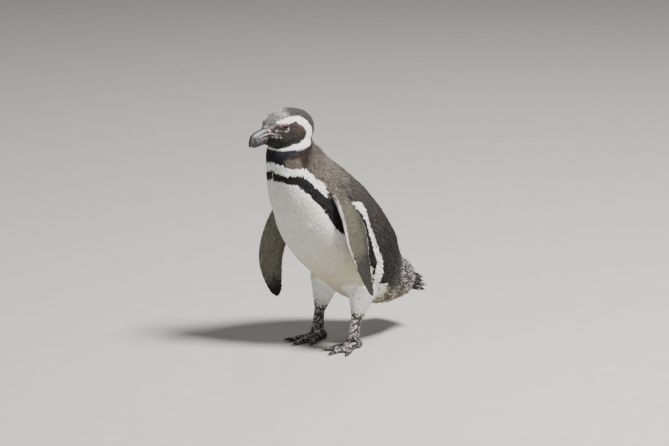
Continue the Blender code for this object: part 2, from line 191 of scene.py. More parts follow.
# flipper: share of its length, reach in front of and behind its middle line, half thickness
flipper = {
    "rows": [(0, 18, 17, 14), (0.14, 20, 19, 11), (0.3, 24, 23, 7.2), (0.46, 26, 28, 5.4),
             (0.62, 25, 28, 4.3), (0.78, 20.5, 25, 3.4), (0.9, 14, 20.5, 2.6), (0.97, 7, 15.5, 1.9),
             (1, -1, 8, 1.2)],
    "line": {"left": [(44, -25, 324), (80, -22, 290), (102, -9, 236), (107, 7, 174), (110, 27, 110)],
             "right": [(-40, -14, 316), (-70, -13, 276), (-103, -20, 212), (-120, -26, 146),
                       (-121, -14, 73)]},
    # mm its front edge draws in at shares of its length, and degrees its rear edge tucks in
    "narrow": {"left": [(0.08, 0), (0.2, 8), (0.36, 8), (0.52, 0)], "right": [(0, 0), (1, 0)]},
    "turn": {"left": [(0, 0), (0.38, -9), (0.7, 16), (1, 30)], "right": [(0, 16), (1, 34)]},
}


def flipperPath(side):
    sign = bird["signs"][side]
    rows = smoothRows(flipper["rows"], 14)
    rows[:, 1] -= np.interp(rows[:, 0], *zip(*flipper["narrow"][side]))
    line = smoothRows(flipper["line"][side], 24)
    length = lengthAlong(line)
    middle = np.column_stack([np.interp(rows[:, 0], length / length[-1], line[:, i]) for i in range(3)])
    turn = np.radians(np.interp(rows[:, 0], *zip(*flipper["turn"][side])))
    frontward = np.column_stack([sign * np.sin(turn), -np.cos(turn), 0 * turn])
    path = makePath(middle, frontward, (rows[:, 1] + rows[:, 2]) / 2, rows[:, 3] * 0.75, rows[:, 3] * 0.75,
                    offset=(rows[:, 1] - rows[:, 2]) / 2, nose=0.47)
    path["up"] = sign * np.cross(path["side"], path["along"])  # out of its outer face
    path["share"] = rows[:, 0]
    return path


legRows = [(0, 31, 36), (0.25, 29, 33), (0.5, 23, 27), (0.75, 16.5, 20), (0.92, 13, 15.5), (1, 11, 13)]
shankRows = [(0, 9.5, 11), (0.3, 9.5, 10.5), (0.6, 10.5, 10), (0.85, 13, 11), (1, 14, 10)]
toes = {"turn": {"inner": -27, "middle": 0, "outer": 27}, "length": {"inner": 50, "middle": 62, "outer": 55},
        "radius": (8.2, 4.6), "webReach": 0.86, "webHalf": 1.5}


def limbPath(top, end, rows, sideHint=(1, 0, 0)):
    rows = smoothRows(rows, 10)
    centre = np.array(top, float) + rows[:, :1] * (np.array(end, float) - np.array(top, float))
    return makePath(centre, sideHint, rows[:, 1], rows[:, 2], rows[:, 2])


def legPath(side):
    x, y, z = bird["ankle"][side]
    return limbPath((x - bird["signs"][side], y + 20, z + 72), (x, y, z - 6), legRows)


def toeWay(side, turn):
    heading = np.radians(bird["toeOut"][side] + turn)
    return np.array([bird["signs"][side] * np.sin(heading), -np.cos(heading), 0])


def toePath(side, name):  # a padded toe that swells at each joint
    way = toeWay(side, toes["turn"][name])
    share = np.linspace(0, 1, 40)
    start = np.array(bird["toeBase"][side], float) + 4 * way
    centre = start + share[:, None] * toes["length"][name] * way
    radius = np.interp(share, (0, 1), toes["radius"]) * (1 + 0.09 * np.sin(share * 4 * np.pi))
    centre[:, 2] = np.interp(share, (0, 1), toes["radius"]) * 0.8
    return makePath(centre, np.cross(way, (0, 0, 1)), radius * 0.95, radius, radius * 0.85)


def footPaths(side):
    sign = bird["signs"][side]
    ankle, base = (np.array(bird[key][side], float) for key in ("ankle", "toeBase"))
    x, y, z = base
    paths = {"shank": limbPath(ankle + (ankle - base) * 0.25, base, shankRows),
             "heel": limbPath((x, y + 19, 7), (x, y - 12, 7), [(0, 8.5, 7.7), (0.3, 12, 7.8), (1, 15, 7.8)]),
             "hind": limbPath((x - sign * 6, y + 2, z + 1), (x - sign * 17, y - 6, 6),
                              [(0, 5, 5), (0.5, 4.2, 4.2), (1, 3.2, 3.2)])}
    for name in toes["turn"]:
        paths[name] = toePath(side, name)
    # the web goes across from toe to toe: each ring is a flat oval from the heel out to the web's edge
    turn = np.linspace(toes["turn"]["inner"], toes["turn"]["outer"], 41)
    reach = np.interp(turn, list(toes["turn"].values()), list(toes["length"].values())) * toes["webReach"]
    reach = reach * (1 - 0.2 * np.abs(np.sin(np.pi * turn / toes["turn"]["outer"])))
    ways = np.array([toeWay(side, each) for each in turn])
    half = reach / 2
    rings = makePath(base + ways * half[:, None], (0, 0, 1), toes["webHalf"], half + 3, half + 3)
    rings["centre"][:, 2] = 2.6
    rings["side"][:], rings["up"] = (0, 0, 1), ways
    paths["web"] = rings
    return paths


def tailPath():
    rows = smoothRows([(0, 32, 34), (0.3, 37, 30), (0.5, 39, 24), (0.7, 38, 17), (0.88, 33, 10.5),
                       (0.97, 25, 6.5), (1, 17, 3.5)], 10)
    root, end = np.array([0, 166, 105.0]), np.array([0, 230, 89.0])
    return makePath(root + rows[:, :1] * (end - root), (-1, 0, 0), rows[:, 1], rows[:, 2], rows[:, 2])


trunk, head, tail = trunkPath(), headSection(smoothRows(headRows, 16)), tailPath()
flippers = {side: flipperPath(side) for side in bird["signs"]}
legs = {side: legPath(side) for side in bird["signs"]}
feet = {side: footPaths(side) for side in bird["signs"]}
print("paths: trunk %.0f mm long, flipper %.0f mm" % (trunk["length"][-1], flippers["left"]["length"][-1]))


# Tools for meshes.

def gridFaces(rows, columns, first=0):
    # quads between neighbouring rings, wrapping round, and a fan of triangles over each end's middle point
    i, j = np.meshgrid(np.arange(rows - 1), np.arange(columns), indexing="ij")
    here, after = i * columns, (j + 1) % columns
    quads = np.stack([here + j, here + after, here + columns + after, here + columns + j], 2).reshape(-1, 4)
    tris = np.vstack([quads[:, [0, 1, 2]], quads[:, [0, 2, 3]]])
    ring = np.arange(columns)
    start = np.column_stack([(ring + 1) % columns, ring, np.full(columns, rows * columns)])
    end = np.column_stack([ring, (ring + 1) % columns, np.full(columns, rows * columns + 1)])
    end[:, :2] += (rows - 1) * columns
    return np.vstack([tris, start, end]) + first


def closedGrids(grids):  # points and triangles of several ring grids, each closed at both ends
    points, faces, first = [], [], 0
    for grid in grids:
        rows, columns = grid.shape[:2]
        points += [grid.reshape(-1, 3), grid[:1].mean(axis=1), grid[-1:].mean(axis=1)]
        faces.append(gridFaces(rows, columns, first))
        first += rows * columns + 2
    return np.vstack(points), np.vstack(faces)


def makeObject(name, points, faces, inFrame=False):  # points in the bird's mm, or in the frame's metres
    mesh = bpy.data.meshes.new(name)
    place = points if inFrame else points * mm + shift
    mesh.vertices.add(len(place))
    mesh.vertices.foreach_set("co", place.astype(np.float32).ravel())
    mesh.loops.add(faces.size)
    mesh.loops.foreach_set("vertex_index", faces.astype(np.int32).ravel())
    mesh.polygons.add(len(faces))
    mesh.polygons.foreach_set("loop_start", np.arange(len(faces), dtype=np.int32) * faces.shape[1])
    mesh.update(calc_edges=True)
    mesh.shade_smooth()
    made = bpy.data.objects.new(name, mesh)
    bpy.context.scene.collection.objects.link(made)
    return made


def facingOut(points, faces):  # turns the triangles round if their signed volume is negative
    a, b, c = (points[faces[:, i]] for i in range(3))
    return faces if (a * np.cross(b, c)).sum() > 0 else faces[:, ::-1]


def gridObject(name, grids):
    made = [closedGrids([grid]) for grid in grids]
    first = np.cumsum([0] + [len(points) for points, _ in made])
    faces = [facingOut(points, tris) + start for (points, tris), start in zip(made, first)]
    return makeObject(name, np.vstack([points for points, _ in made]), np.vstack(faces))


def modified(piece, kind, **settings):  # makes one modifier part of the mesh
    tool = piece.modifiers.new(kind.lower(), kind)
    for key, value in settings.items():
        setattr(tool, key, value)
    graph = bpy.context.evaluated_depsgraph_get()
    mesh = bpy.data.meshes.new_from_object(piece.evaluated_get(graph))
    piece.modifiers.clear()
    piece.data = mesh
    return piece


def readOut(items, key, kind=np.float32, columns=3):
    values = np.empty(len(items) * columns, kind)
    items.foreach_get(key, values)
    return values.reshape(-1, columns)


def pointsOf(mesh):  # the mesh's points in the bird's mm
    return (readOut(mesh.vertices, "co").astype(float) - shift) / mm


def setPoints(mesh, points):
    mesh.vertices.foreach_set("co", (points * mm + shift).astype(np.float32).ravel())
    mesh.update()


def normalsOf(mesh):
    return readOut(mesh.vertices, "normal").astype(float)


def relaxed(points, edges, weight, rounds):  # each point moves towards the mean of its neighbours
    count = np.bincount(edges.ravel(), minlength=len(points))[:, None]
    for _ in range(rounds):
        total = np.column_stack([
            np.bincount(edges[:, 0], points[edges[:, 1], i], len(points))
            + np.bincount(edges[:, 1], points[edges[:, 0], i], len(points)) for i in range(3)])
        points = points + weight[:, None] * (total / count - points)
    return points


# Tail: stiff pointed blades in four layers, fanned over its root. Each layer: how many, where along the tail
# they start, their length, and how high they lie above its middle line at root and tip, in mm. The outermost
# blades' fan and roll are in degrees.
tailLook = {
    "layers": [(12, 14, 40, 17, 13), (12, 15, 45, 8, 4), (12, 16, 48, -2, -6), (12, 14, 49, -13, -17)],
    "half": 4.2, "thick": 0.9, "fan": 24, "roll": 72, "spread": 26,
    "bladesFrom": 189,  # y where the body's feathers end and the blades show
    "thinning": 8,  # how much thinner than the solid the skin is at the tail's end
}

# One skin goes under the feathers, without a seam from bill to toes. Its depths under the coat are in mm.
skinLook = {"voxel": 1.25, "trunkDepth": 2.6, "headDepth": 1.5, "flipperDepth": 0.9, "legDepth": 1.8,
            "footDepth": 0.35, "rounds": 34, "triangles": 190000}

# Bill: upper and lower halves, each an oval carried forward; place ahead, height, half width, up, down.
bill = {
    "upper": [(30, 2, 12.5, 13, 0.8), (40, 2, 11.5, 12.8, 0.8), (52, 1.5, 9.8, 11.3, 1),
              (62, 0.5, 8.4, 10, 2.8), (70.5, -1.5, 6.9, 9.4, 5), (77, -5, 5, 8.4, 7.5),
              (81, -10.5, 2.9, 5.2, 5.6)],
    "lower": [(30, -2.5, 11.8, 4, 13), (40, -1.5, 10.8, 4, 13.8), (52, -1.8, 9.4, 4, 14.6),
              (61, -3.2, 7.9, 3, 14.4), (69, -6, 6, 2.6, 12.4), (74, -8, 4.3, 2, 9.6),
              (77.5, -10, 2.2, 0.8, 5.4)],
    # skin that laps over the base of each half, in the same terms
    "collar": [[(26, 2, 18, 17.5, 7), (34, 2, 15.6, 16.1, 6), (40, 2, 13.6, 14.9, 5),
                (44, 1.9, 12.4, 13.9, 4.2), (47, 1.8, 11.2, 12.9, 3.5)],
               [(26, -3, 16, 5, 15.2), (34, -2.6, 14.1, 5, 14.4), (40, -2, 12.4, 4, 14.4),
                (45, -1.8, 11.2, 3.4, 14.8)]],
    "band": 67,  # place of the pale band across it
    "groove": [(41, 8), (50, 6.4), (60, 3.4), (70, -1.5)],
    "nostril": [(47, 7.2), (52, 6)],
}


def headPlaces(p):  # mm ahead of, beside and above the head's centre
    gap = p - np.array(bird["headCentre"])
    return gap @ forward, np.abs(gap @ toLeft), gap @ crownward


def bump(distance, reach):  # 1 at the middle, falling smoothly to about 0 at twice the reach
    return np.exp(-(distance / reach) ** 2)


def pathDistance(x, y, line):  # distance in a plane to a line through a few points
    best = np.full(len(x), 1e9)
    for (x0, y0), (x1, y1) in zip(line, line[1:]):
        dx, dy = x1 - x0, y1 - y0
        share = np.clip(((x - x0) * dx + (y - y0) * dy) / (dx * dx + dy * dy), 0, 1)
        best = np.minimum(best, np.hypot(x - x0 - share * dx, y - y0 - share * dy))
    return best


def eyeCentre(side):
    return inHead(bird["eye"][0], bird["signs"][side] * bird["eye"][1], bird["eye"][2])


def eyeDistance(ahead, above, squash=1.15):  # mm from the eye, seen from the side, in flat ovals
    return np.hypot(ahead - bird["eye"][0], (above - bird["eye"][2]) * squash)


def bareFolds(ahead, above, p):
    # fine folds of bare skin, 0 in a crease and 1 on a fold: rings round the eye, and lines from eye to bill
    x, y = ahead - bird["eye"][0], above - bird["eye"][2]
    bend = 1.6 * (mottle(p, 3.2, 18) - 0.5)
    rings = 0.5 + 0.5 * np.sin(eyeDistance(ahead, above, 1.1) * 2.6 + 3 * bend)
    lines = 0.5 + 0.5 * np.sin((y + 0.16 * x) * 2.9 + 3.5 * bend)
    return rings + (lines - rings) * ease(x, 5, 10)


def sculptHead(p, normals):
    # moves the skin in or out along its normal: brow, eye socket, folds under the eye, furrow before it, gape
    # and cheek, each as a height times a bump that falls off with distance from its place
    ahead, beside, above = headPlaces(p)
    near = (above > -45) & (ahead > -30)
    fromEye = eyeDistance(ahead, above)
    sideways = ease(beside, 8, 16)
    move = 1.3 * bump(np.hypot((ahead - 15) / 1.6, above - 24), 5) * sideways  # brow
    move += 0.9 * bump(fromEye - 7.6, 1.5) * sideways  # rim of bare skin
    move -= 0.7 * bump(fromEye - 10.5, 1.3) * ease(bird["eye"][2] - above, -2, 5) * sideways  # bag under it
    move -= 1.0 * bump(pathDistance(ahead, above, [(26, 12), (38, 5)]), 2.0) * sideways  # lore furrow
    gape = pathDistance(ahead, above, [(50, 2), (40, 2.2), (32, 0)])
    move -= 1.3 * bump(gape, 1.3) * ease(beside, 4, 9)
    move += 0.8 * bump(pathDistance(ahead, above, [(44, -2), (30, -3)]), 2.2) * sideways  # lip below the gape
    move += 1.2 * bump(np.hypot((ahead - 4) / 1.8, above + 9), 9) * sideways  # cheek
    bare = (1 - ease(pathDistance(ahead, above, [(17, 15), (40, 12)]), 5, 8)) * sideways
    move += 0.45 * (bareFolds(ahead, above, p) - 0.5) * bare
    move += 0.5 * (mottle(p, 5, 3) - 0.5) * near
    p = p + normals * (move * near)[:, None]
    beside = headPlaces(p)[1]
    flat = (1 - ease(fromEye, 4.9, 8.2)) * near * sideways  # socket: level with the eye's sides
    across = np.sign(p @ toLeft - bird["headCentre"][0])
    return p + ((bird["eye"][1] + 3.7 - beside) * flat * across)[:, None] * toLeft


def makeSkin():
    tailDepth = skinLook["trunkDepth"] + tailLook["thinning"] * tail["length"] / tail["length"][-1]
    grids = [ringGrid(trunk, skinLook["trunkDepth"], 120), ringGrid(head, skinLook["headDepth"], 96),
             ringGrid(tail, tailDepth, 60)]
    for side in bird["signs"]:
        grids.append(ringGrid(flippers[side], skinLook["flipperDepth"], 60, 1))
        grids.append(ringGrid(legs[side], skinLook["legDepth"], 48))
        grids += [ringGrid(path, skinLook["footDepth"], 40) for path in feet[side].values()]
    for rows in bill["collar"]:  # the skin reaches a little way along the horn, and thins out there
        grids.append(ringGrid(headSection(smoothRows(rows, 10)), 0, 48))
    points, faces = closedGrids(grids)
    skin = makeObject("skin", points, faces)
    modified(skin, "REMESH", mode="VOXEL", voxel_size=skinLook["voxel"] * mm)
    p = pointsOf(skin.data)
    ahead, _, above = headPlaces(p)
    body = 1 - ease(placeOn(trunk, p)["out"], 1.02, 1.1) * (1 - ease(above, -45, -30))
    weight = 0.12 + 0.38 * body * ease(p[:, 2], 62, 80) * (1 - ease(ahead, 30, 38))
    p = relaxed(p, readOut(skin.data.edges, "vertices", np.int32, 2), weight, skinLook["rounds"])
    p[:, 2] = np.maximum(p[:, 2], 0)  # soles are flat on the floor
    setPoints(skin.data, p)
    setPoints(skin.data, sculptHead(p, normalsOf(skin.data)))
    modified(skin, "DECIMATE", ratio=min(1, skinLook["triangles"] / (2 * len(skin.data.polygons))))
    skin.data.shade_smooth()
    return skin


skin = makeSkin()
print("skin: %d faces" % len(skin.data.polygons))


# Where each stretch of plumage lies, and its markings.

tones = {name: hexColour(code) for name, code in {
    "white": "#faf8f4", "belly": "#e3e1da", "cream": "#d8cfb3", "black": "#0d0c10", "shoulder": "#5c534e",
    "back": "#211f20", "lowBack": "#0c0b0d", "rump": "#1b1c20", "rumpPale": "#9a979b", "paleEdge": "#a1988f",
    "neckFront": "#171a22", "neckSide": "#231714", "neckNape": "#443a36", "crown": "#4f504f",
    "crownPale": "#a09f9b", "crownDark": "#323236", "forehead": "#5c5a55", "cheek": "#43322e",
    "cheekDark": "#131111", "cheekOlive": "#2a2821", "throat": "#0e0d0c", "pink": "#8c646b",
    "palePink": "#b0a2a5", "faceSkin": "#57484a", "faceDark": "#171013", "lid": "#2b131c",
    "lidMargin": "#0f0b0c", "eyeRim": "#161012", "irisRim": "#1c0a09", "irisDark": "#1f0b0c",
    "iris": "#42171a", "pupil": "#060506", "wing": "#5f5c51", "wingTip": "#1f1d1f", "wingInner": "#77756b",
    "wingFront": "#e0d3cc", "ankle": "#d0c8c5", "foot": "#141319", "footPale": "#c9bcba", "web": "#20232b",
    "claw": "#1d1b1c", "clawPale": "#4a4340", "clawTip": "#6d6259", "hornDark": "#0d0c0f",
    "horn": "#242226", "hornPale": "#7a757d", "ridge": "#5c615f"}.items()}


def layered(colour, *layers):  # lays each tone over the colour by its share, one after another
    for tone, share in layers:
        colour = blend(colour, tones[tone], share)
    return colour


# Along the trunk (mm) and round it from the middle of the belly (degrees): where the belly ends, where the
# black band gives way to the white one, and where the dark neck and back begin.
markings = {
    "belly": [(61, 0), (62, 11), (66, 31), (74, 53), (82, 56.5), (92, 62), (104, 65), (124, 67.5),
              (136, 66.5), (150, 68), (174, 66), (190, 69.5), (195, 72), (220, 77), (244, 78.5), (266, 73),
              (276, 76), (293, 74), (309, 67), (320, 58), (332, 46), (342, 34)],
    "black": [(49.5, 0), (50.5, 4), (52.5, 21.5), (57.4, 42), (60.6, 61), (63, 70), (73, 74), (81, 77.5),
              (94, 80), (104, 82), (114, 81.5), (121, 84), (128, 92), (150, 104), (162, 104.3), (184, 104.4),
              (199, 102.7), (215, 100.6), (232, 95.8), (254, 93.5), (272, 89), (287, 87), (295, 81),
              (305, 71), (321, 61.5), (340, 49)],
    "band": [(40.5, 0), (41, 7), (42.6, 21), (44.5, 35), (48.4, 50), (52.3, 66), (56.4, 84.5), (65, 84.7),
             (77, 89), (89, 92), (101, 93.5), (108, 90), (121, 83), (128, 90), (150, 102), (160, 104),
             (170, 112), (178, 115.7), (193, 114.3), (203, 109), (222, 104), (246, 101.5), (264, 98),
             (287, 95.6), (299, 92), (319, 80), (329, 67.7), (347, 48)],
}
# The white ring on the side of the head, seen from the side about a point in the cheek: heading (degrees from
# the bill up over the crown) and distance from that point of its inner and its outer edge.
ring = {"centre": (4, 2),
        "inner": [(36, 32.6), (53, 24.6), (71, 19.4), (92, 19.8), (110, 22.3), (127, 19.9), (149, 21.2),
                  (165, 25.1), (180, 27.9), (198, 29.9), (210, 28.6), (227, 23.9), (257, 20.8), (281, 21.7),
                  (295, 26.2), (303, 30.8), (309, 35.4), (313, 38.6), (320, 38.6)],
        "outer": [(36, 33.0), (45, 33.2), (59, 30.2), (81, 28.7), (101, 29.4), (127, 33), (140, 35),
                  (150, 38), (162, 40), (176, 43), (188, 46.5), (209, 48), (216, 45.1), (230, 38),
                  (246, 34.8), (263, 31.9), (277, 30.1), (293, 32.5), (304, 36.8), (311, 41.3), (320, 41)]}


def onToes(p, foot, left):  # on a shank or toe, not on the web between the toes
    on = np.zeros(len(p), bool)
    for side, here in (("left", foot & left), ("right", foot & ~left)):
        out = [placeOn(path, p[here])["out"] for name, path in feet[side].items() if name != "web"]
        on[here] = np.min(out, axis=0) < 1.3
    return on


def regions(p):
    # where each point lies: its place on the trunk and head, and on which limb it is
    found = {"trunk": placeOn(trunk, p), "head": headPlaces(p)}
    out = found["trunk"]["out"]
    ahead, _, above = found["head"]
    left = p[:, 0] > 0
    for side, sign in bird["signs"].items():
        place = placeOn(flippers[side], p)
        place["share"] = flippers[side]["share"][place["station"]]
        reach = flippers[side]["width"][place["station"]]
        place["fromFront"], place["fromRear"] = (1 - place["x"]) * reach, (1 + place["x"]) * reach
        place["on"] = ((p[:, 0] * sign > 40) & (out > 1.0) & (np.abs(place["x"]) < 1.7) & (p[:, 2] > 60)
                       & (np.abs(place["up"]) < 9) & (place["share"] > 0.1) & (p[:, 1] < 75))
        found[side] = place
    leg = {side: placeOn(legs[side], p) for side in bird["signs"]}
    for key in ("at", "out", "around"):
        found["leg_" + key] = np.where(left, leg["left"][key], leg["right"][key])
    found["foot"] = p[:, 2] < np.where(left, bird["ankle"]["left"][2], bird["ankle"]["right"][2]) - 2
    found["onToe"] = onToes(p, found["foot"], left)
    found["leg"] = ((out > 0.97) & (found["leg_out"] < 1.35) & (p[:, 2] < 118) & (p[:, 1] < 110)
                    & ~found["foot"])
    found["onHead"] = (above > -30) & (ahead > -58) & (p[:, 1] < -25) & (p[:, 2] > 350)
    found["onFlipper"] = found["left"]["on"] | found["right"]["on"]
    found["fromEye"] = eyeDistance(ahead, above)
    return found


def headPlumage(p, found):
    # ring of white round a brown and black cheek, pinkish skin from eye to bill, grey crown pale in front
    _, beside, above = found["head"]
    ahead = found["head"][0] + 2.5 * (mottle(p, 3.5, 61) - 0.5)
    x, y = found["head"][0] - ring["centre"][0], above - ring["centre"][1]
    heading = np.degrees(np.arctan2(y, x)) % 360
    reach = np.hypot(x, y) + 1.3 * (mottle(p, 2.2, 1) - 0.5)
    inner, outer = (np.interp(heading, *np.array(ring[key]).T) for key in ("inner", "outer"))
    patch, fine = mottle(p, 6, 2), mottle(p, 2.1, 60)
    crown = layered(tones["crown"], ("crownPale", ease(0.35 * patch + 0.8 * fine, 0.4, 0.72)))
    crown = blend(tones["crownDark"], crown, ease(ahead + 1.45 * (above - 29) + 9 * (patch - 0.5), 8, 22))
    crown = layered(crown, ("forehead", 0.6 * ease(ahead, 20, 34) * ease(patch + fine, 0.7, 1.1)),
                    ("neckNape", ease(-ahead, 36, 54)))
    cheek = layered(tones["cheekDark"], ("cheek", ease(above - 0.55 * ahead, -4, 14) * ease(patch, 0, 0.7)),
                    ("cheekOlive", ease(ahead, 8, 24) * (1 - 0.6 * patch)),
                    ("throat", ease(-above - 0.35 * ahead, 8, 17)))
    forehead = ease(above, 17, 21) * ease(ahead, 22, 26)
    inside = np.where(heading > 320, 1, ease(inner - reach, -0.3, 0.3)) * (1 - forehead)
    bareColour, bare = bareSkin(p, ahead, beside, above, found["fromEye"])
    colour = blend(blend(crown, cheek, inside), bareColour, bare)
    onRing = ease(heading, 34, 40) * (1 - ease(heading, 318, 324))
    white = ease(reach - inner, -0.3, 0.3) * ease(outer - reach, -0.3, 0.3) * onRing
    colour = layered(colour, ("white", white))
    below = ease(reach - outer, -0.3, 0.3) * ((heading > 192) & (heading < 330))
    edge = 0.2 * (1 - bare) + 0.3 * ease(ahead, -6, 6) * ease(above, 20, 26)
    # white feathers keep a small rim share: a faint grey rim, painted shade between feathers
    edge = np.where(white > 0.5, 0.03, edge)
    return colour, edge, np.maximum(below, ease(-above, 26, 31)), bare * (white < 0.6)


# Marks on the face, seen from the side: for each tone, half widths in mm and lines of places ahead and above.
face = {
    "palePink": [(1.3, [(44, 12), (42, 9)]), (1.2, [(44, 5.2), (38.8, 3.8), (35.5, 3.2), (31, 2.4)]),
                 (0.8, [(33, 12), (34, 8)]), (1.0, [(30.5, -1.6), (27, -2.6)]),
                 (0.6, [(28.9, 10.4), (23.9, 8), (18.8, 7.2)]), (0.3, [(13, 15.5), (14.6, 11), (16, 6.8)]),
                 (0.5, [(41, -1), (34, -2)])],
    "pink": [(1.5, [(28, 19.6), (22, 20.6), (14, 20)]), (1.4, [(41, 14.5), (37, 16)])],
    "faceDark": [(1.5, [(29.6, 18), (35, 13.6), (31, 13), (30, 17)]),
                 (1.0, [(40, 12), (36.7, 6.8), (31, 3.9)]), (0.9, [(26, 6.2), (21.7, 4), (16.3, 4.2)]),
                 (1.2, [(9.4, 19.4), (3, 22), (-2.8, 22), (-6, 19)]),
                 (0.8, [(50, 2), (40, 2.2), (33, -0.2)])],
}


def bareSkin(p, ahead, beside, above, fromEye):
    # brownish-pink skin with dark creases, from eye to bill and round the eye, with the face's marks over it
    grain, speck = mottle(p, 1.7, 4) - 0.5, mottle(p, 0.9, 5)
    creases = ease(bareFolds(ahead, above, p) - 1.6 * grain + 0.5 * (speck - 0.5), 0.35, 0.65)
    colour = blend(tones["faceSkin"], tones["faceDark"], creases)
    lores = pathDistance(ahead, above, [(18, 14), (30, 13), (40, 10), (46, 7)]) + 3 * grain
    bare = (1 - ease(lores, 3.8, 5.8)) * ease(beside, 3, 7)
    bare = np.maximum(bare, 1 - ease(fromEye + 1.5 * grain, 6.8, 8.6))
    for tone, half, line in ((tone, *mark) for tone, marks in face.items() for mark in marks):
        near = 1 - ease(pathDistance(ahead, above, line) + (1 + 1.6 * half) * grain, half - 0.3, half + 0.5)
        near = near * ease(beside, 5, 8)
        colour = layered(colour, (tone, near * (0.95 - 0.55 * ease(speck, 0.45, 0.75))))
        bare = np.maximum(bare, near)
    return colour, bare


def trunkPlumage(p, found):
    # bands of black and white round breast and flank, brown neck, streaked dark back, cream low on the belly;
    # the belly's grey away from the black band is painted shade, and the cream is partly a stain and partly
    # painted shade
    at = found["trunk"]["at"] + 2.4 * (mottle(p, 4.5, 6) - 0.5)
    angle = found["trunk"]["angle"] + 3.4 * (mottle(p, 4, 7) - 0.5)
    limit = {key: np.interp(at, *np.array(rows).T) for key, rows in markings.items()}
    patch = mottle(p, 9, 8)
    nape = ease(angle + 1.2 * (at - 29) + 14 * (patch - 0.5), 116, 134)
    scallop = ease(at, 37, 41) * ease(angle, 34, 42) * (1 - ease(angle, 74, 86))
    neck = layered(tones["neckSide"], ("neckNape", nape), ("shoulder", 0.6 * scallop))
    front = np.interp(angle, (0, 28, 37, 50, 67, 90, 104), (99, 60, 38, 36, 34.4, 27, 18)) - 4 * (patch - 0.5)
    neck = blend(tones["neckFront"], neck, ease(at - front, -2, 2))
    streak, rumpStreak = mottle(p * (1, 0.45, 0.45), 3.4, 9), mottle(p * (1, 0.35, 1), 2.6, 11)
    back = layered(tones["shoulder"], ("back", ease(at + 40 * (patch - 0.5), 85, 180)),
                   ("lowBack", ease(at + 40 * (patch - 0.5), 190, 300)),
                   ("black", 0.5 * ease(streak, 0.5, 0.75)), ("rump", ease(at, 325, 375)),
                   ("rumpPale", 0.85 * ease(rumpStreak, 0.48, 0.62) * ease(at, 362, 396)))
    dark = blend(neck, back, ease(at, 52, 90))
    stripe = ease(mottle(p * (1, 0.4, 1), 3, 10), 0.2, 0.55)
    # painted shade: the belly is greyer than the white strip beside the black band, and low down it turns
    # cream, partly a stain and partly painted shade
    under = layered(tones["white"], ("belly", ease(limit["belly"] - angle, 4, 16)),
                    ("cream", ease(at + 24 * (patch - 0.5), 170, 290) * 0.9),
                    ("back", 0.92 * stripe * ease(at, 346, 366)))
    black = layered(tones["black"], ("back", 0.5 * patch))
    colour = blend(under, black, ease(angle, limit["belly"] - 0.6, limit["belly"] + 0.6))
    colour = layered(colour, ("white", ease(angle, limit["black"] - 0.5, limit["black"] + 0.5)))
    colour = blend(colour, dark, ease(angle, limit["band"] - 0.6, limit["band"] + 0.6))
    spot = np.hypot(found["trunk"]["at"] - 272, (found["trunk"]["around"] + 21) * 1.4)
    colour = layered(colour, ("back", 0.8 * (1 - ease(spot, 1.6, 3))))
    under = blend(under, dark, ease(angle, 62, 78))
    colour = blend(colour, under, ease(at, 336, 346))  # under the tail the bands stop
    darkness = ease(angle, limit["band"], limit["band"] + 1)
    darkness = darkness * np.clip(ease(at, 52, 70) + nape + scallop, 0.2, 1)
    edge = darkness * np.interp(at, (90, 110, 200, 300), (0.6, 0.36, 0.24, 0.12)) * ease(angle + at, 72, 92)
    # the 0.03 gives white feathers a faint grey rim, painted shade between feathers; the rest are real pale
    # fringes
    return colour, 0.03 + edge + 0.4 * ease(at, 340, 380) + 0.4 * ease(at, 395, 430)


def flipperPlumage(p, place):
    # outside grey-brown, dark towards tip and rear, with a pinkish-white front edge and a thin white rear
    # line; the dark on its lower part is partly its own tone and partly painted shade where it turns from the
    # light. Inside mottled pale with a dark tip, painted greyer than that as painted shade
    patch = mottle(p, 5, 12) - 0.5
    share, x = place["share"] + 0.1 * patch, place["x"] + 0.2 * patch
    front = np.interp(share, (0.1, 0.6, 0.7, 0.95, 1), (4.8, 4.4, 1.6, 1.2, 0.6))  # its width in mm
    front = 1 - ease(place["fromFront"] + 2 * patch, front - 0.7, front + 0.7)
    rear = 1 - ease(place["fromRear"] + patch, 2.4, 3.4)
    rear = rear * ease(share, 0.4, 0.55) * (1 - ease(share, 0.9, 0.97))
    # partly painted shade: the outer face darkens from about 0.6 to 0.7 of its length onwards, where the
    # flipper turns away from the light
    outer = layered(tones["wing"], ("wingTip", 0.85 * ease(share, 0.58, 0.72)),
                    ("wingTip", 0.5 * ease(-x, 0.1, 0.8)), ("wingFront", 0.9 * front))
    # painted shade: the inner face's tones are greyer than its own pale colour
    inner = layered(tones["wingInner"], ("wing", 0.7 * ease(mottle(p, 4, 13), 0.45, 0.8)),
                    ("wingTip", np.maximum(0.35 * ease(-x, 0.45, 0.8), ease(share, 0.8, 0.95))))
    colour = blend(inner, outer, ease(place["up"], -0.6, 0.6))
    return layered(colour, ("white", 0.9 * rear)), 0.14 + 0 * share


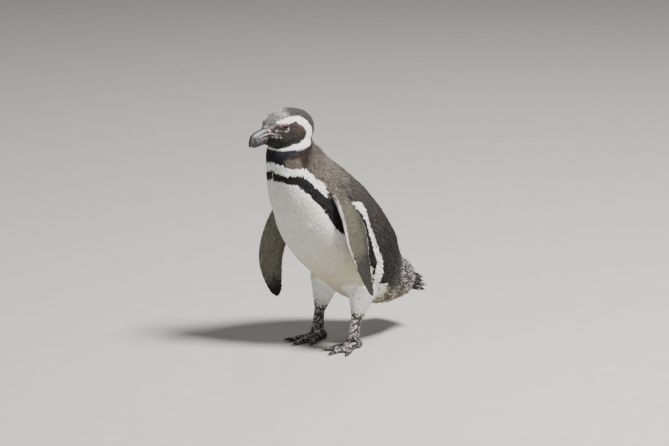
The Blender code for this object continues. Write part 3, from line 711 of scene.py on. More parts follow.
def plumage(p, found):
    # one rule for skin and feathers: colour, how pale a feather's rim is (on white feathers a small share
    # that greys the rim, painted shade between feathers), and where skin is bare
    colour, edge = trunkPlumage(p, found)
    headColour, headEdge, below, bare = headPlumage(p, found)
    onHead = found["onHead"]
    share = np.where(onHead, 1 - below, 0)
    colour, edge = blend(colour, headColour, share), edge + (headEdge - edge) * share
    bare = bare * share
    for side in bird["signs"]:
        place = found[side]
        wing, wingEdge = flipperPlumage(p, place)
        on = np.where(place["on"], ease(place["share"] + 0.1 * (mottle(p, 6, 19) - 0.5), 0.1, 0.26), 0)
        colour, edge = blend(colour, wing, on), edge + (wingEdge - edge) * on
    down = ease(found["leg_at"], 50, 78)
    dark = mottle(p, 2.2, 14) + 0.2 * down + 0.22 * ease(found["leg_at"], 64, 76)
    leg = layered(tones["white"], ("ankle", down), ("foot", 0.9 * ease(dark, 0.84, 0.96)))
    colour = blend(colour, leg, found["leg"] * 1.0)
    # a faint grey rim on the white leg feathers, painted shade between feathers
    edge = np.where(found["leg"], 0.03, edge)
    # feet: black with pinkish-white bars, slate at the sides and on the webs; the bars spread further on
    # whatever faces up or forwards, most higher up, and that spread is painted highlight of the wet skin
    paintedHighlight = ease(found["outward"] @ unit(np.array([0, -0.7, 1])), 0.1, 0.9)
    paintedHighlight = (0.08 + 0.14 * ease(p[:, 2], 12, 26)) * paintedHighlight * found["onToe"]
    bars = mottle(p * (0.6, 1, 1.5), 2.3, 15) + paintedHighlight
    scale = layered(tones["foot"], ("web", 0.8 * ease(-p[:, 2], -16, -6)),
                    ("footPale", 0.95 * ease(bars, 0.64, 0.74)))
    colour = blend(colour, scale, found["foot"] * 1.0)
    return colour, np.where(found["foot"], 0.12, edge), bare


def setAttribute(mesh, name, kind, values):  # one value for each point
    made = mesh.attributes.get(name) or mesh.attributes.new(name, kind, "POINT")
    key = {"FLOAT": "value", "FLOAT_VECTOR": "vector", "FLOAT_COLOR": "color"}[kind]
    made.data.foreach_set(key, np.ascontiguousarray(values, np.float32).ravel())


def paint(piece, colour):  # what the materials read as the piece's own colours
    shown = np.column_stack([np.clip(colour, 0, 1), np.ones(len(colour))])
    setAttribute(piece.data, "plume", "FLOAT_COLOR", shown)


def paintSkin():
    p = pointsOf(skin.data)
    found = regions(p) | {"outward": normalsOf(skin.data)}
    colour, _, bare = plumage(p, found)
    paint(skin, colour)
    setAttribute(skin.data, "outward", "FLOAT_VECTOR", found["outward"])
    return p, found, bare


skinPoints, skinFound, skinBare = paintSkin()
print("markings painted on %d points" % len(skinPoints))


# Nodes for shaders and for spreading roots.

def addNode(tree, kind, inputs=(), **settings):
    # inputs go by order or by name, and each is a value, a socket or a node whose first output is meant
    node = tree.nodes.new(kind)
    for key, value in settings.items():
        setattr(node, key, value)
    for key, value in inputs.items() if isinstance(inputs, dict) else enumerate(inputs):
        if isinstance(value, bpy.types.Node):
            value = value.outputs[0]
        if isinstance(value, bpy.types.NodeSocket):
            tree.links.new(value, node.inputs[key])
        else:
            node.inputs[key].default_value = value
    return node


def rootSpreader():  # a node group that puts points on the skin where "here" is 1, at least a distance apart
    tree = bpy.data.node_groups.new("spreadRoots", "GeometryNodeTree")
    for name, way, kind in (("Geometry", "INPUT", "Geometry"), ("Spacing", "INPUT", "Float"),
                            ("Seed", "INPUT", "Int"), ("Geometry", "OUTPUT", "Geometry")):
        tree.interface.new_socket(name, in_out=way, socket_type="NodeSocket" + kind)
    start = addNode(tree, "NodeGroupInput").outputs
    here = addNode(tree, "GeometryNodeInputNamedAttribute", ["here"], data_type="FLOAT")
    square = addNode(tree, "ShaderNodeMath", [start["Spacing"], start["Spacing"]], operation="MULTIPLY")
    most = addNode(tree, "ShaderNodeMath", [3.0, square], operation="DIVIDE")
    spread = addNode(tree, "GeometryNodeDistributePointsOnFaces",
                     {"Mesh": start["Geometry"], "Distance Min": start["Spacing"], "Density Max": most,
                      "Density Factor": here, "Seed": start["Seed"]}, distribute_method="POISSON")
    addNode(tree, "NodeGroupOutput", [addNode(tree, "GeometryNodePointsToVertices", [spread])])
    return tree


spreader = rootSpreader()


def spreadRoots(here, spacing, seed):  # roots and the skin's outward direction at each
    setAttribute(skin.data, "here", "FLOAT", here)
    tool = skin.modifiers.new("roots", "NODES")
    tool.node_group = spreader
    keys = {item.name: item.identifier for item in spreader.interface.items_tree if item.in_out == "INPUT"}
    tool[keys["Spacing"]] = spacing * mm
    tool[keys["Seed"]] = seed
    mesh = bpy.data.meshes.new_from_object(skin.evaluated_get(bpy.context.evaluated_depsgraph_get()))
    skin.modifiers.clear()
    return pointsOf(mesh), unit(readOut(mesh.attributes["outward"].data, "vector").astype(float))


# A feather is a thin closed vane with a root, three rings of three points, and a tip.

vane = {
    "along": np.array([0, 0.3, 0.3, 0.3, 0.68, 0.68, 0.68, 0.9, 0.9, 0.9, 1]),
    "across": np.array([0, -0.8, 0, 0.8, -1, 0, 1, -0.66, 0, 0.66, 0]),
    "ridge": np.array([0, 0, 1, 0, 0, 1, 0, 0, 0.8, 0, 0.3]),
}


def vaneFaces():
    faces = [(0, 1, 2), (0, 2, 3), (0, 3, 1)]
    for first in (1, 4):
        for i in range(3):
            a, b = first + i, first + (i + 1) % 3
            faces += [(a, a + 3, b + 3), (a, b + 3, b)]
    faces += [(7, 10, 8), (8, 10, 9), (9, 10, 7)]
    shape = np.column_stack([vane["across"], vane["along"], vane["ridge"]])
    return facingOut(shape, np.array(faces))


vaneTris = vaneFaces()
vaneTop = np.isin(vaneTris, (2, 5, 8)).any(axis=1)  # only the upper side is shaded smooth, so rims stay crisp


def makeVanes(name, root, outward, lie, size, colour, edge, place):
    # length along the lie, width across it, rising from just under the skin to its tip, edges cupped down;
    # each vane's patch of the OFBake map sits at its root's place
    count = len(root)
    lie = unit(lie - (lie * outward).sum(axis=1, keepdims=True) * outward)
    across = np.cross(lie, outward)
    yaw = size["yaw"] * rng.standard_normal(count) + size["clump"] * (mottle(root, 8, 21) - 0.5)
    yaw = np.radians(yaw)[:, None]
    lie, across = lie * np.cos(yaw) + across * np.sin(yaw), across * np.cos(yaw) - lie * np.sin(yaw)
    length = size["length"] * (1 + 0.14 * rng.standard_normal(count).clip(-2, 2))
    width = size["width"] * (1 + 0.1 * rng.standard_normal(count).clip(-2, 2))
    rise = size["rise"] * (1 + 0.3 * rng.standard_normal(count).clip(-1.6, 2.2))
    rise = rise * (0.7 + 0.6 * mottle(root, 7, 22))
    tilt = 0.12 * rng.standard_normal(count).clip(-2, 2)[:, None]
    along = vane["along"] * length[:, None]
    taper = np.where(vane["along"] == 0.9, (size["taper"] * np.ones(count))[:, None], 1)
    wide = vane["across"] * taper * width[:, None] / 2
    up = (-0.12 + rise[:, None] * vane["along"] ** 0.85 + size["thick"] * vane["ridge"] + tilt * wide
          - 0.22 * np.abs(wide) - size["curve"] * along**2)
    points = (root[:, None] + along[..., None] * lie[:, None] + wide[..., None] * across[:, None]
              + up[..., None] * outward[:, None])
    points[..., 2] = np.maximum(points[..., 2], 0.05)
    faces = (vaneTris[None] + 11 * np.arange(count)[:, None, None]).reshape(-1, 3)
    piece = makeObject(name, points.reshape(-1, 3), faces)
    piece.data.polygons.foreach_set("use_smooth", np.tile(vaneTop, count))
    # rims turn toward the pale edge tone by the edge share: a real pale fringe on dark feathers; on white
    # ones the small share greys the rim, painted shade
    rim = np.maximum(ease(vane["along"], 0.68, 1), 0.55 * (np.abs(vane["across"]) > 0.7))
    tone = colour * (1 + size["vary"] * rng.standard_normal(count).clip(-2, 2))[:, None]
    shown = blend(tone[:, None], (0.3 * tone + 0.8 * tones["paleEdge"])[:, None],
                  np.clip(edge, 0, 1)[:, None] * rim)
    # painted shade: each vane is darker near its root, where it lies under the feathers before it
    shown = shown * (1 - 0.14 * (vane["along"] < 0.4))[None, :, None]
    paint(piece, shown.reshape(-1, 3))
    low, high = place.min(axis=0), place.max(axis=0)
    spot = 0.002 + 0.993 * (place - low) / (high - low)
    patch = np.column_stack([vane["across"] / 2 + 0.5, vane["along"]])
    for key, values in (("OFBake", spot[:, None] + 0.003 * patch),
                        ("vane", np.broadcast_to(patch, (count, 11, 2)))):
        layer = piece.data.uv_layers.new(name=key)
        layer.data.foreach_set("uv", values.reshape(-1, 2)[faces.ravel()].astype(np.float32).ravel())
    return piece


# Spacing of the roots in each zone, and where the trunk's coat is parted into pieces, in mm and degrees.
coatLook = {"spacing": {"head": 1.2, "trunk": 1.95, "flipper": 1.4, "leg": 1.8, "foot": 1.3},
            "neckEnd": 72, "chestEnd": 165, "rumpStart": 330, "sideAngle": 92,
            "stations": (20, 60, 110, 330, 390, 430)}  # places along the trunk where feathers' sizes are set


def lieOf(p, found):  # which way feathers point: from the bill back and down, then along trunk and limbs
    along = trunk["along"][found["trunk"]["station"]]
    above = found["head"][2]
    onHead = np.broadcast_to([0, 1, -0.35], p.shape) - np.outer(ease(-above, 5, 30), (0, 0, 0.5))
    share = ease(-above, 6, 40)
    lie = unit(onHead) * (1 - share)[:, None] + along * share[:, None]
    for side in bird["signs"]:
        on = found[side]["on"]
        lie[on] = flippers[side]["along"][found[side]["station"][on]]
    lie[found["leg"]] = (0, -0.25, -1)
    lie[found["foot"]] = (0, -0.8, -0.5)
    return lie


def featherSize(zone, found):
    # mm; feathers grow from face to rump, lie closest where they are pale, and rise most on neck and rump
    at, angle = found["trunk"]["at"], found["trunk"]["angle"]
    if zone == "trunk":
        dark = ease(angle, 80, 100)
        rise = np.interp(at, (20, 70, 120, 330, 380, 430), (1.0, 1.0, 0.9, 1.2, 2.3, 3.2))
        return {"length": np.interp(at, coatLook["stations"], (5.2, 6.6, 8.4, 9, 11, 15)),
                "width": np.interp(at, coatLook["stations"], (2.5, 3.1, 3.9, 4.1, 3.4, 2.6)),
                "rise": rise * (0.6 + 0.4 * dark) + 0.5 * dark, "yaw": 6, "clump": 12 + 24 * dark,
                "thick": 0.13, "curve": 0.004, "vary": 0.03 + 0.12 * dark,
                "taper": 1 - 0.6 * ease(at, 320, 400)}
    if zone == "head":
        face = np.maximum(ease(found["head"][0], 2, 22), 1 - ease(found["fromEye"], 9, 18))
        return {"length": 4.8 - 1.9 * face, "width": 2.1 - 0.8 * face, "rise": 0.8 - 0.25 * face,
                "yaw": 6, "clump": 20, "thick": 0.09, "curve": 0.01, "vary": 0.1, "taper": 0.9}
    if zone == "leg":
        low = ease(found["leg_at"], 35, 70)
        return {"length": 6.4 - 2.6 * low, "width": 2.9 - 1.1 * low, "rise": 0.8 - 0.3 * low, "yaw": 9,
                "clump": 30, "thick": 0.12, "curve": 0.01, "vary": 0.05, "taper": 0.9}
    if zone == "flipper":
        x = np.where(found["left"]["on"], found["left"]["x"], found["right"]["x"])
        rim = ease(np.abs(x), 0.8, 1)
        return {"length": 3.3 - 1.2 * rim, "width": 1.9 - 0.5 * rim, "rise": 0.5 - 0.3 * rim, "yaw": 4,
                "clump": 8, "thick": 0.1, "curve": 0.002, "vary": 0.1, "taper": 1.05}
    return {"length": 1.9, "width": 1.75, "rise": 0.3, "yaw": 10, "clump": 0, "thick": 0.24, "curve": 0.03,
            "vary": 0.14, "taper": 1}


def zoneMasks(p, found, bare):
    covered = (bare < 0.5) & (p[:, 2] > 2.5)
    limb = found["onFlipper"] | found["leg"] | found["foot"]
    return {"head": found["onHead"] & covered,
            "trunk": ~found["onHead"] & ~limb & covered & (p[:, 1] < tailLook["bladesFrom"]),
            "flipper": found["onFlipper"], "leg": found["leg"] & ~found["onFlipper"],
            "foot": found["onToe"] & covered}


def coatPieces(zone, p, found):  # which piece of the coat each root belongs to, and its place on the unwrap
    at, around, angle = (found["trunk"][key] for key in ("at", "around", "angle"))
    ahead, _, above = found["head"]
    left = p[:, 0] > bird["headCentre"][0]
    if zone == "head":
        return {"coat_head_left": left, "coat_head_right": ~left}, np.column_stack([ahead, above])
    if zone == "trunk":
        back, chest = angle > coatLook["sideAngle"], at < coatLook["chestEnd"]
        neck, rump = at < coatLook["neckEnd"], at > coatLook["rumpStart"]
        above, below = ~neck & ~rump & back, ~neck & ~rump & ~back
        return ({"coat_neck": neck, "coat_breast": below & chest, "coat_belly": below & ~chest,
                 "coat_shoulders": above & chest, "coat_back": above & ~chest, "coat_rump": rump},
                np.column_stack([around, at]))
    if zone == "flipper":
        spot = [np.where(left, found["left"][key], found["right"][key]) for key in ("across", "share")]
        spot[0] = spot[0] + 70 * (np.where(left, found["left"]["up"], found["right"]["up"]) > 0)
        return {"coat_flipper_left": left, "coat_flipper_right": ~left}, np.column_stack(spot)
    if zone == "leg":
        return ({"coat_leg_left": left, "coat_leg_right": ~left},
                np.column_stack([found["leg_around"], found["leg_at"]]))
    return {"scales_left": left, "scales_right": ~left}, np.column_stack([p[:, 0], p[:, 1] + 0.7 * p[:, 2]])


def makeCoat():
    made = []
    for seed, (zone, mask) in enumerate(zoneMasks(skinPoints, skinFound, skinBare).items()):
        root, outward = spreadRoots(mask.astype(float), coatLook["spacing"][zone], seed + 5)
        found = regions(root)
        size, lie = featherSize(zone, found), lieOf(root, found)
        shown = root + (0.55 * size["length"] * unit(lie).T).T  # its colour is that of where its tip shows
        colour, edge, _ = plumage(shown, regions(shown) | {"outward": outward})
        pieces, place = coatPieces(zone, root, found)
        for name, mine in pieces.items():
            share = {key: value[mine] if np.ndim(value) else value for key, value in size.items()}
            made.append(makeVanes(name, root[mine], outward[mine], lie[mine], share, colour[mine], edge[mine],
                                  place[mine]))
            print("%s: %d vanes" % (name, mine.sum()))
    return made


coat = makeCoat()


def makeTail():
    start, way, up = tail["centre"][0], tail["along"][0], tail["up"][0]
    share, angle = np.linspace(0, 1, 22), np.linspace(0, 2 * np.pi, 12, endpoint=False)
    taper = (0.4 + 0.6 * ease(share, 0, 0.45)) * (1 - ease(share, 0.72, 1) * 0.93)
    grids, tips = [], []
    for count, begin, reach, high, low in tailLook["layers"]:
        for place in np.linspace(-1, 1, count) + rng.uniform(-0.05, 0.05, count):
            fan = np.radians(tailLook["fan"] * place)
            line = way * np.cos(fan) + toLeft * np.sin(fan)
            length = reach * (1 - 0.14 * place**2) * (1 + 0.07 * rng.standard_normal())
            bow = np.sqrt(1 - 0.5 * min(place**2, 1))
            root = start + way * begin + toLeft * tailLook["spread"] * place
            centre = root + np.outer(share * length, line) + np.outer((high + (low - high) * share) * bow, up)
            wide = np.outer(tailLook["half"] * taper, np.sin(angle))
            rise = np.outer(tailLook["thick"] * (1.05 - share), np.cos(angle)) - 0.02 * wide**2
            roll, side = np.radians(tailLook["roll"] * place), np.cross(line, up)
            across = side * np.cos(roll) + up * np.sin(roll)  # outer blades stand on edge
            outward = up * np.cos(roll) - side * np.sin(roll)
            grids.append(centre[:, None] + wide[..., None] * across + rise[..., None] * outward)
            tips.append(np.concatenate([np.repeat(share, len(angle)), [0, 1]]))
    blades = gridObject("tail_blades", grids)
    p = pointsOf(blades.data)
    streak = ease(mottle(p * (1, 0.2, 1), 2.4, 31), 0.42, 0.7)
    paint(blades, layered(tones["black"], ("rump", mottle(p, 6, 32)),
                          ("rumpPale", 0.7 * streak * ease(np.concatenate(tips), 0.3, 0.9))))
    return blades


tailBlades = makeTail()


def makeBill(half):
    path = headSection(smoothRows(bill[half], 16))
    angle = np.linspace(0, 2 * np.pi, 96, endpoint=False)
    sine, cosine = np.sin(angle), np.cos(angle)
    keel = np.maximum(cosine if half == "upper" else -cosine, 0)  # ridge: the oval narrows towards it
    across = np.outer(path["width"], np.sign(sine) * np.abs(sine) ** 0.86 * (1 - 0.2 * keel**2))
    rise = np.where(cosine > 0, path["above"][:, None], path["below"][:, None])
    rise = rise * np.sign(cosine) * np.abs(cosine) ** 0.9
    grid = path["centre"][:, None] + across[..., None] * toLeft + rise[..., None] * crownward
    piece = gridObject("bill_" + half + "_horn", [grid])
    p, normals = pointsOf(piece.data), normalsOf(piece.data)
    ahead, beside, above = headPlaces(p)
    flank = ease(beside, 2, 5)
    nostril = pathDistance(ahead, above, bill["nostril"])
    move = 0.2 * (mottle(p, 3, 41) - 0.5) + 0.1 * (mottle(p, 1.1, 42) - 0.5)
    if half == "upper":
        move -= 0.55 * bump(pathDistance(ahead, above, bill["groove"]), 1.3) * flank
        move -= 0.9 * bump(nostril, 0.9) * flank
        move += 0.35 * bump(pathDistance(ahead, above, [(30, 8.5), (48, 8.6), (62, 6.2)]), 1.5) * flank
    else:
        move += 0.28 * np.sin((ahead + 0.9 * above) * 1.05) * ease(62 - ahead, 0, 14) * flank
    setPoints(piece.data, p + normals * move[:, None])
    paint(piece, billColours(half, p, ahead, above, nostril * flank))
    return piece


def billColours(half, p, ahead, above, nostril):
    # dark horn with paler streaks along it, a light ridge that is partly the horn's tone and partly painted
    # highlight along its top, a pale band near the tip and a pinkish gape
    slope = above + 0.42 * (ahead - 50) * (half == "upper")
    streak = mottle(np.column_stack([ahead * 0.1, p[:, 0] * 0.6, slope]), 0.95, 43)
    wander = 0.8 * (mottle(p, 2.4, 46) - 0.5)
    horn = layered(tones["hornDark"], ("horn", ease(mottle(p, 3.4, 44), 0.25, 0.75)),
                   ("hornPale", 0.75 * ease(streak + 0.3 * (mottle(p, 3, 47) - 0.5), 0.6, 0.74)))
    if half == "upper":
        rows = np.array(bill["upper"])
        ridge = np.interp(ahead, rows[:, 0], rows[:, 1] + rows[:, 3])
        line = pathDistance(ahead, above, [(44, 5.6), (53, 3.6), (63, 0.6)])
        band = bump(ahead + 0.5 * above - bill["band"] + 3 * (mottle(p, 3, 45) - 0.5), 2.4)
        # partly painted highlight: the top few mm along the ridge line are lightened
        horn = layered(horn, ("ridge", 0.8 * ease(above - ridge + 0.8 * (streak - 0.5), -4, -2)),
                       ("palePink", 0.85 * bump(line + wander, 0.9)), ("hornDark", bump(nostril, 0.8)),
                       ("hornPale", 0.6 * band * ease(ridge - above, 2, 5)))
    else:
        line = pathDistance(ahead, above, [(44, -2.2), (54, -3.4), (66, -8.5)])
        horn = layered(horn, ("hornPale", 0.8 * bump(line + wander, 0.9)))
    return layered(horn, ("horn", 0.6 * ease(ahead, 72, 78)))


bills = {half: makeBill(half) for half in ("upper", "lower")}
print("bill made")

# Eye: a ball whose pole looks out and a little forward, with a dark pupil, red-brown iris and dark rim.
eyeLook = {"pupil": 2.4, "iris": 5.0, "gaze": (0.34, 1, 0.02), "lid": (5.5, 4.2), "tube": 0.95}


def outOf(side):  # the head's outward direction on this side
    return bird["signs"][side] * toLeft


def makeEye(side):
    # rings round the gaze, closest together at the front; the cornea bulges a little over the iris
    ahead, beside, above = eyeLook["gaze"]
    gaze = unit(ahead * forward + beside * outOf(side) + above * crownward)
    first = unit(np.cross(gaze, crownward))
    second = np.cross(gaze, first)
    centre = eyeCentre(side)
    polar = np.pi * np.linspace(0.012, 0.988, 64) ** 1.25
    angle = np.linspace(0, 2 * np.pi, 72, endpoint=False)
    radius = bird["eyeRadius"] * (1 + 0.035 * bump(polar, 0.55))
    reach = (radius * np.sin(polar))[:, None]
    grid = (centre + (radius * np.cos(polar))[:, None, None] * gaze
            + (reach * np.cos(angle))[..., None] * first + (reach * np.sin(angle))[..., None] * second)
    piece = gridObject("eyeball_" + side, [grid])
    gap = pointsOf(piece.data) - centre
    far = np.linalg.norm(gap - (gap @ gaze)[:, None] * gaze, axis=1) + 9 * (gap @ gaze < 0)
    ray = np.arctan2(gap @ first, gap @ second)
    fleck = mottle(np.column_stack([np.cos(ray) * 9, np.sin(ray) * 9, far * 0.7]), 1, 51)
    pupil, iris = eyeLook["pupil"], eyeLook["iris"]
    paint(piece, layered(tones["irisDark"], ("iris", ease(fleck, 0.3, 0.8)),
                         ("irisRim", ease(far, 3.4, iris)),
                         ("pupil", 1 - ease(far, pupil - 0.15, pupil + 0.1)),
                         ("eyeRim", ease(far, iris - 0.1, iris + 0.2))))
    return piece


def makeLids(side):
    # a tube round the eye: its line is an almond on the ball, and fine folds run round and across it
    centre = eyeCentre(side)
    turn = np.linspace(0, 2 * np.pi, 160, endpoint=False)
    x = eyeLook["lid"][0] * np.cos(turn)
    y = eyeLook["lid"][1] * np.sin(turn) * (1 - 0.12 * np.maximum(np.sin(turn), 0)) - 0.1 * x
    out = np.sqrt(np.maximum(bird["eyeRadius"]**2 - x**2 - y**2, 4)) + 0.15
    spoke = unit(np.column_stack([x, y]))
    tube = eyeLook["tube"] * (1 + 0.28 * np.maximum(np.sin(turn), 0) + 0.1 * np.abs(np.cos(turn)) ** 6)
    circle = np.linspace(0, 2 * np.pi, 24, endpoint=False)
    fold = 1 + 0.05 * np.sin(3 * circle)[None] + 0.06 * np.sin(turn * 34 + np.sin(3 * turn) * 2)[:, None]
    reach = tube[:, None] * fold * np.cos(circle)
    height = out[:, None] + 0.85 * tube[:, None] * fold * np.sin(circle)
    flat = np.stack([x[:, None] + reach * spoke[:, :1], y[:, None] + reach * spoke[:, 1:]], axis=2)
    grid = (centre + flat[..., :1] * forward + flat[..., 1:] * crownward + height[..., None] * outOf(side))
    rows, columns = grid.shape[:2]
    i, j = (each.ravel() for each in np.meshgrid(np.arange(rows), np.arange(columns), indexing="ij"))
    here, ahead, after = i * columns, (i + 1) % rows * columns, (j + 1) % columns
    tris = np.vstack([np.column_stack([here + j, ahead + j, ahead + after]),
                      np.column_stack([here + j, ahead + after, here + after])])
    piece = makeObject("lids_" + side, grid.reshape(-1, 3), facingOut(grid.reshape(-1, 3) - centre, tris))
    p = pointsOf(piece.data)
    ahead, _, above = headPlaces(p)
    far = eyeDistance(ahead, above, 1.2)
    paint(piece, layered(tones["lid"], ("faceDark", ease(mottle(p, 1.7, 53), 0.4, 0.6)),
                         ("pink", 0.8 * ease(far, 5.6, 6) * ease(above - bird["eye"][2], 1, 3)),
                         ("lidMargin", 1 - ease(far, 4.7, 5.4))))  # dark and wet on its inner edge
    return piece


eyes = {side: makeEye(side) for side in bird["signs"]}
lids = {side: makeLids(side) for side in bird["signs"]}
print("eyes and lids made")


# Claws: a horn cone along each toe that curves down; its sides are flatter than its top.
claws = {"length": 14, "radius": 3.3, "hindLength": 8, "hindRadius": 2.2}


def makeClaw(side, name):
    x, y, _ = bird["toeBase"][side]
    if name == "hind":
        way = unit(np.array([-bird["signs"][side] * 0.8, -0.6, 0]))
        root = np.array([x - bird["signs"][side] * 15.5, y - 5, 6.2])
        length, radius = claws["hindLength"], claws["hindRadius"]
    else:
        way = toeWay(side, toes["turn"][name])
        root = np.array([x, y, 0]) + (4 + toes["length"][name] - 3) * way
        root[2], length, radius = claws["radius"] + 1.4, claws["length"], claws["radius"]
    share = np.linspace(0, 1, 28)
    centre = root + (share * length)[:, None] * way
    centre[:, 2] -= 1.2 * share**2
    thick = radius * (1 - 0.93 * share**1.6) * (1 + 0.04 * np.sin(share * 40) * (1 - share))
    path = makePath(centre, np.cross(way, (0, 0, 1)), thick * 0.82, thick, thick * 0.8)
    if path["up"][0, 2] < 0:
        path["up"], path["side"] = -path["up"], -path["side"]
    piece = gridObject("nail_%s_%s" % (side, name), [ringGrid(path, 0, 32, 0.2)])
    p = pointsOf(piece.data)
    along = (p - root) @ way / length
    paint(piece, layered(tones["claw"], ("clawPale", ease(mottle(p * (1, 1, 2), 1.6, 61), 0.4, 0.9)),
                         ("clawTip", 0.5 * ease(along, 0.5, 1))))
    return piece


nails = {(side, name): makeClaw(side, name) for side in bird["signs"] for name in (*toes["turn"], "hind")}
print("claws made")


# Materials. Each takes its colours from the piece's own "plume" colours, and adds what is finer than those.

def startMaterial(name, roughness, settings):  # a Principled surface and its node tree
    material = bpy.data.materials.new(name)
    material.use_nodes = True
    surface = material.node_tree.nodes["Principled BSDF"]
    for key, value in ({"Roughness": roughness} | settings).items():
        surface.inputs[key].default_value = value
    return material, material.node_tree, surface


def cover(tree, surface, specks, low, high, depth=None, height=None, finer=None, stretch=(1, 1, 1),
          colour=None):
    # base colour: the colours held on the piece's points, or one given, times soft noise between two levels,
    # times a finer pattern if there is one. Relief: from the height given, or else from the same noise.
    # The size of the noise's specks and the relief's depth are in mm.
    place = addNode(tree, "ShaderNodeTexCoord").outputs["Object"]
    place = addNode(tree, "ShaderNodeMapping", {"Vector": place, "Scale": stretch})
    noise = addNode(tree, "ShaderNodeTexNoise",
                    {"Vector": place, "Scale": 1 / (specks * mm), "Detail": 3.0, "Roughness": 0.6})
    colour = colour or addNode(tree, "ShaderNodeAttribute", attribute_name="plume")
    for level in (addNode(tree, "ShaderNodeMapRange", [noise, 0.3, 0.7, low, high]), finer):
        if level:
            colour = addNode(tree, "ShaderNodeMix", {0: 1.0, 6: colour, 7: level}, data_type="RGBA",
                             blend_type="MULTIPLY").outputs[2]
    tree.links.new(colour, surface.inputs["Base Color"])
    if depth is not None:
        bumped = addNode(tree, "ShaderNodeBump",
                         {"Height": height or noise, "Distance": depth * mm, "Strength": 1.0})
        tree.links.new(bumped.outputs[0], surface.inputs["Normal"])


def featherMaterial(name, roughness, sheen):
    # barbs: the sine of a slope that runs from the shaft back to both rims of each vane, by its "vane" map;
    # about 24 waves along a feather, coarser than real barbs, so that they show
    waves = 150.0  # in radians
    material, tree, surface = startMaterial(name, roughness, {
        "Sheen Weight": sheen, "Sheen Roughness": 0.4, "Specular IOR Level": 0.14, "IOR": 1.55})
    spot = addNode(tree, "ShaderNodeSeparateXYZ", [addNode(tree, "ShaderNodeUVMap", uv_map="vane")]).outputs
    beside = addNode(tree, "ShaderNodeMath", [spot["X"], 0.5], operation="SUBTRACT")
    beside = addNode(tree, "ShaderNodeMath", [beside], operation="ABSOLUTE")
    slant = addNode(tree, "ShaderNodeMath", [beside, -0.9, spot["Y"]], operation="MULTIPLY_ADD")
    wave = addNode(tree, "ShaderNodeMath", [slant, waves], operation="MULTIPLY")
    wave = addNode(tree, "ShaderNodeMath", [wave], operation="SINE")
    barbs = addNode(tree, "ShaderNodeMapRange", [wave, -1.0, 1.0, 0.88, 1.05])
    shaft = addNode(tree, "ShaderNodeMapRange", [beside, 0.0, 0.07, 1.12, 1.0])
    lines = addNode(tree, "ShaderNodeMath", [barbs, shaft], operation="MULTIPLY")
    cover(tree, surface, 2.5, 0.9, 1.07, depth=0.04, height=wave, finer=lines)
    return material


def plainMaterial(name, roughness, specks, depth, settings, stretch=(1, 1, 1)):
    # the piece's colours times soft specks, and shallow relief from the same noise
    material, tree, surface = startMaterial(name, roughness, settings)
    cover(tree, surface, specks, 0.8, 1.12, depth=depth, stretch=stretch)
    return material


def scaleMaterial(name, cell, roughness):
    # bare foot skin: rounded cells, darker where the distance to a cell's edge is small, which is painted
    # shade in the creases between them
    material, tree, surface = startMaterial(name, roughness, {
        "Specular IOR Level": 0.5, "Coat Weight": 0.12, "Coat Roughness": 0.35})
    place = addNode(tree, "ShaderNodeTexCoord").outputs["Object"]
    cells = addNode(tree, "ShaderNodeTexVoronoi",
                    {"Vector": place, "Scale": 1 / (cell * mm), "Randomness": 0.85},
                    feature="DISTANCE_TO_EDGE")
    crease = addNode(tree, "ShaderNodeMapRange", [cells, 0.0, 0.16, 0.55, 1.0])
    # painted shade: the colour is multiplied down to 0.55 at the cells' edges
    cover(tree, surface, 3.5, 0.8, 1.15, depth=0.25, height=crease, finer=crease)
    return material


# Plumage: matt, dense, and a little silky, so light catches along the rims.
bodyFeather = featherMaterial("feather", 0.68, 0.02)
underDown = plainMaterial("down_and_skin", 0.85, 1.5, 0.4, {})  # felted down that shows between feathers
quill = featherMaterial("tail_feather", 0.45, 0.05)  # stiff tail blades, glossier than the body
footSkin = scaleMaterial("foot_skin", 1.7, 0.48)  # dry pebbled skin, satin where worn
footScale = plainMaterial("foot_scale", 0.42, 1.2, 0.08, {"Coat Weight": 0.1, "Coat Roughness": 0.3})
# Bill and claws: dense horn with growth streaks along it, satin with a thin polish.
billHorn = plainMaterial("bill_horn", 0.56, 1.1, 0.07, {
    "IOR": 1.54, "Coat Weight": 0.06, "Coat Roughness": 0.3}, (1, 0.35, 1))
nailHorn = plainMaterial("claw_horn", 0.5, 0.8, 0.05, {
    "IOR": 1.54, "Coat Weight": 0.05, "Coat Roughness": 0.3}, (1, 0.4, 1))
# Eye: wet and clear over the iris, so it mirrors the lamps sharply.
wetEye = plainMaterial("wet_eye", 0.12, 0.35, 0.0, {
    "IOR": 1.376, "Coat Weight": 0.5, "Coat Roughness": 0.02, "Coat IOR": 1.38})
# Lids: moist bare skin, soft light through it.
lidSkin = plainMaterial("lid_skin", 0.58, 0.6, 0.12, {"Subsurface Weight": 0.1, "Subsurface Scale": 0.0015})


def dress(piece, material, replaced=()):
    piece.data.materials.clear()
    piece.data.materials.append(material)
    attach(piece, "root")
    if replaced:
        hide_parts(*replaced)


flesh = ["head", "neck", "trunk", "tail"] + [part + side for part in ("flipper_", "leg_", "foot_")
                                             for side in bird["signs"]]
dress(skin, underDown, flesh)
skin.data.materials.append(footSkin)
onFoot = regions((readOut(skin.data.polygons, "center") - shift) / mm)["foot"]
skin.data.polygons.foreach_set("material_index", onFoot.astype(np.int32))
for piece in coat:
    if piece.name.startswith("scales"):
        dress(piece, footScale)
    else:
        dress(piece, bodyFeather)
dress(tailBlades, quill)
for half, piece in bills.items():
    dress(piece, billHorn, ["bill_" + half])
for side in bird["signs"]:
    dress(eyes[side], wetEye, ["eye_" + side])
    dress(lids[side], lidSkin)
for (side, name), piece in nails.items():
    dress(piece, nailHorn, ["claw_%s_%s" % (side, name)])
print("materials given")


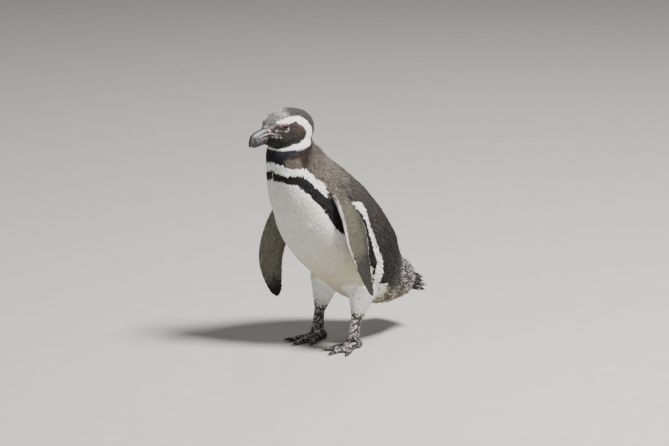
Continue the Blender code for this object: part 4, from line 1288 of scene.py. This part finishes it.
# Stage: a wide pale floor, soft lamps, and the camera in front and to the bird's left, slightly above.
stageLook = {"floor": 60, "floorColour": "#a8a6a2", "worldColour": "#e6e8ea", "worldStrength": 0.15,
             "azimuth": 50, "elevation": 13, "distance": 7.0, "lens": 203.6,
             "target": (-24.0, 50.3, 219.9)}

# Lamps: metres to the right of the bird's middle, towards the camera and up, then size, power and colour.
lamps = {"key": ((1.35, 1.1, 3.1), 0.8, 450, "#fffdf9"), "fill": ((-2.6, 1.6, 1.2), 2.4, 16, "#eef3ff"),
         "rim": ((0.6, -2.4, 2.2), 1.2, 30, "#ffffff")}


def aimed(place, target):  # turns whatever looks along its own -Z from place to target
    way = unit(np.array(target) - np.array(place))
    return Matrix.Translation(Vector(place)) @ Vector(-way).to_track_quat("Z", "Y").to_matrix().to_4x4()


def makeStage():
    half = stageLook["floor"] / 2
    corners = np.array([(-half, -half, 0), (half, -half, 0), (half, half, 0), (-half, half, 0)])
    floor = makeObject("floor", corners, np.array([[0, 1, 2, 3]]), inFrame=True)
    material, tree, surface = startMaterial("pale_floor", 0.85, {"Specular IOR Level": 0.2})
    tone = addNode(tree, "ShaderNodeRGB")
    tone.outputs[0].default_value = (*hexColour(stageLook["floorColour"]), 1)
    cover(tree, surface, 40, 0.97, 1.03, colour=tone)
    floor.data.materials.append(material)


def makeLamp(name, place, size, power, colour, target):
    lamp = bpy.data.lights.new(name, "AREA")
    lamp.shape, lamp.size, lamp.size_y = "RECTANGLE", size, size
    lamp.energy = power
    lamp.color = hexColour(colour)
    made = bpy.data.objects.new(name, lamp)
    made.matrix_world = aimed(place, target)
    bpy.context.scene.collection.objects.link(made)


def makeView():
    azimuth, elevation = np.radians(stageLook["azimuth"]), np.radians(stageLook["elevation"])
    target = np.array(stageLook["target"]) * mm + shift
    level = np.array([np.sin(azimuth), -np.cos(azimuth), 0])
    away = level * np.cos(elevation) + (0, 0, np.sin(elevation))
    right = np.array([np.cos(azimuth), np.sin(azimuth), 0])
    camera = bpy.data.cameras.new("camera")
    camera.lens, camera.sensor_width = stageLook["lens"], 36
    camera.clip_end = 200
    made = bpy.data.objects.new("camera", camera)
    made.matrix_world = aimed(target + stageLook["distance"] * away, target)
    bpy.context.scene.collection.objects.link(made)
    bpy.context.scene.camera = made
    middle = np.array([0, 0, 0.25])
    for name, ((across, near, up), size, power, colour) in lamps.items():
        makeLamp(name, middle + across * right + near * level + (0, 0, up), size, power, colour, middle)
    world = bpy.data.worlds.new("studio")
    world.use_nodes = True
    glow = world.node_tree.nodes["Background"].inputs
    glow["Color"].default_value = (*hexColour(stageLook["worldColour"]), 1)
    glow["Strength"].default_value = stageLook["worldStrength"]
    bpy.context.scene.world = world


makeStage()
makeView()
print("stage, lamps and camera set")
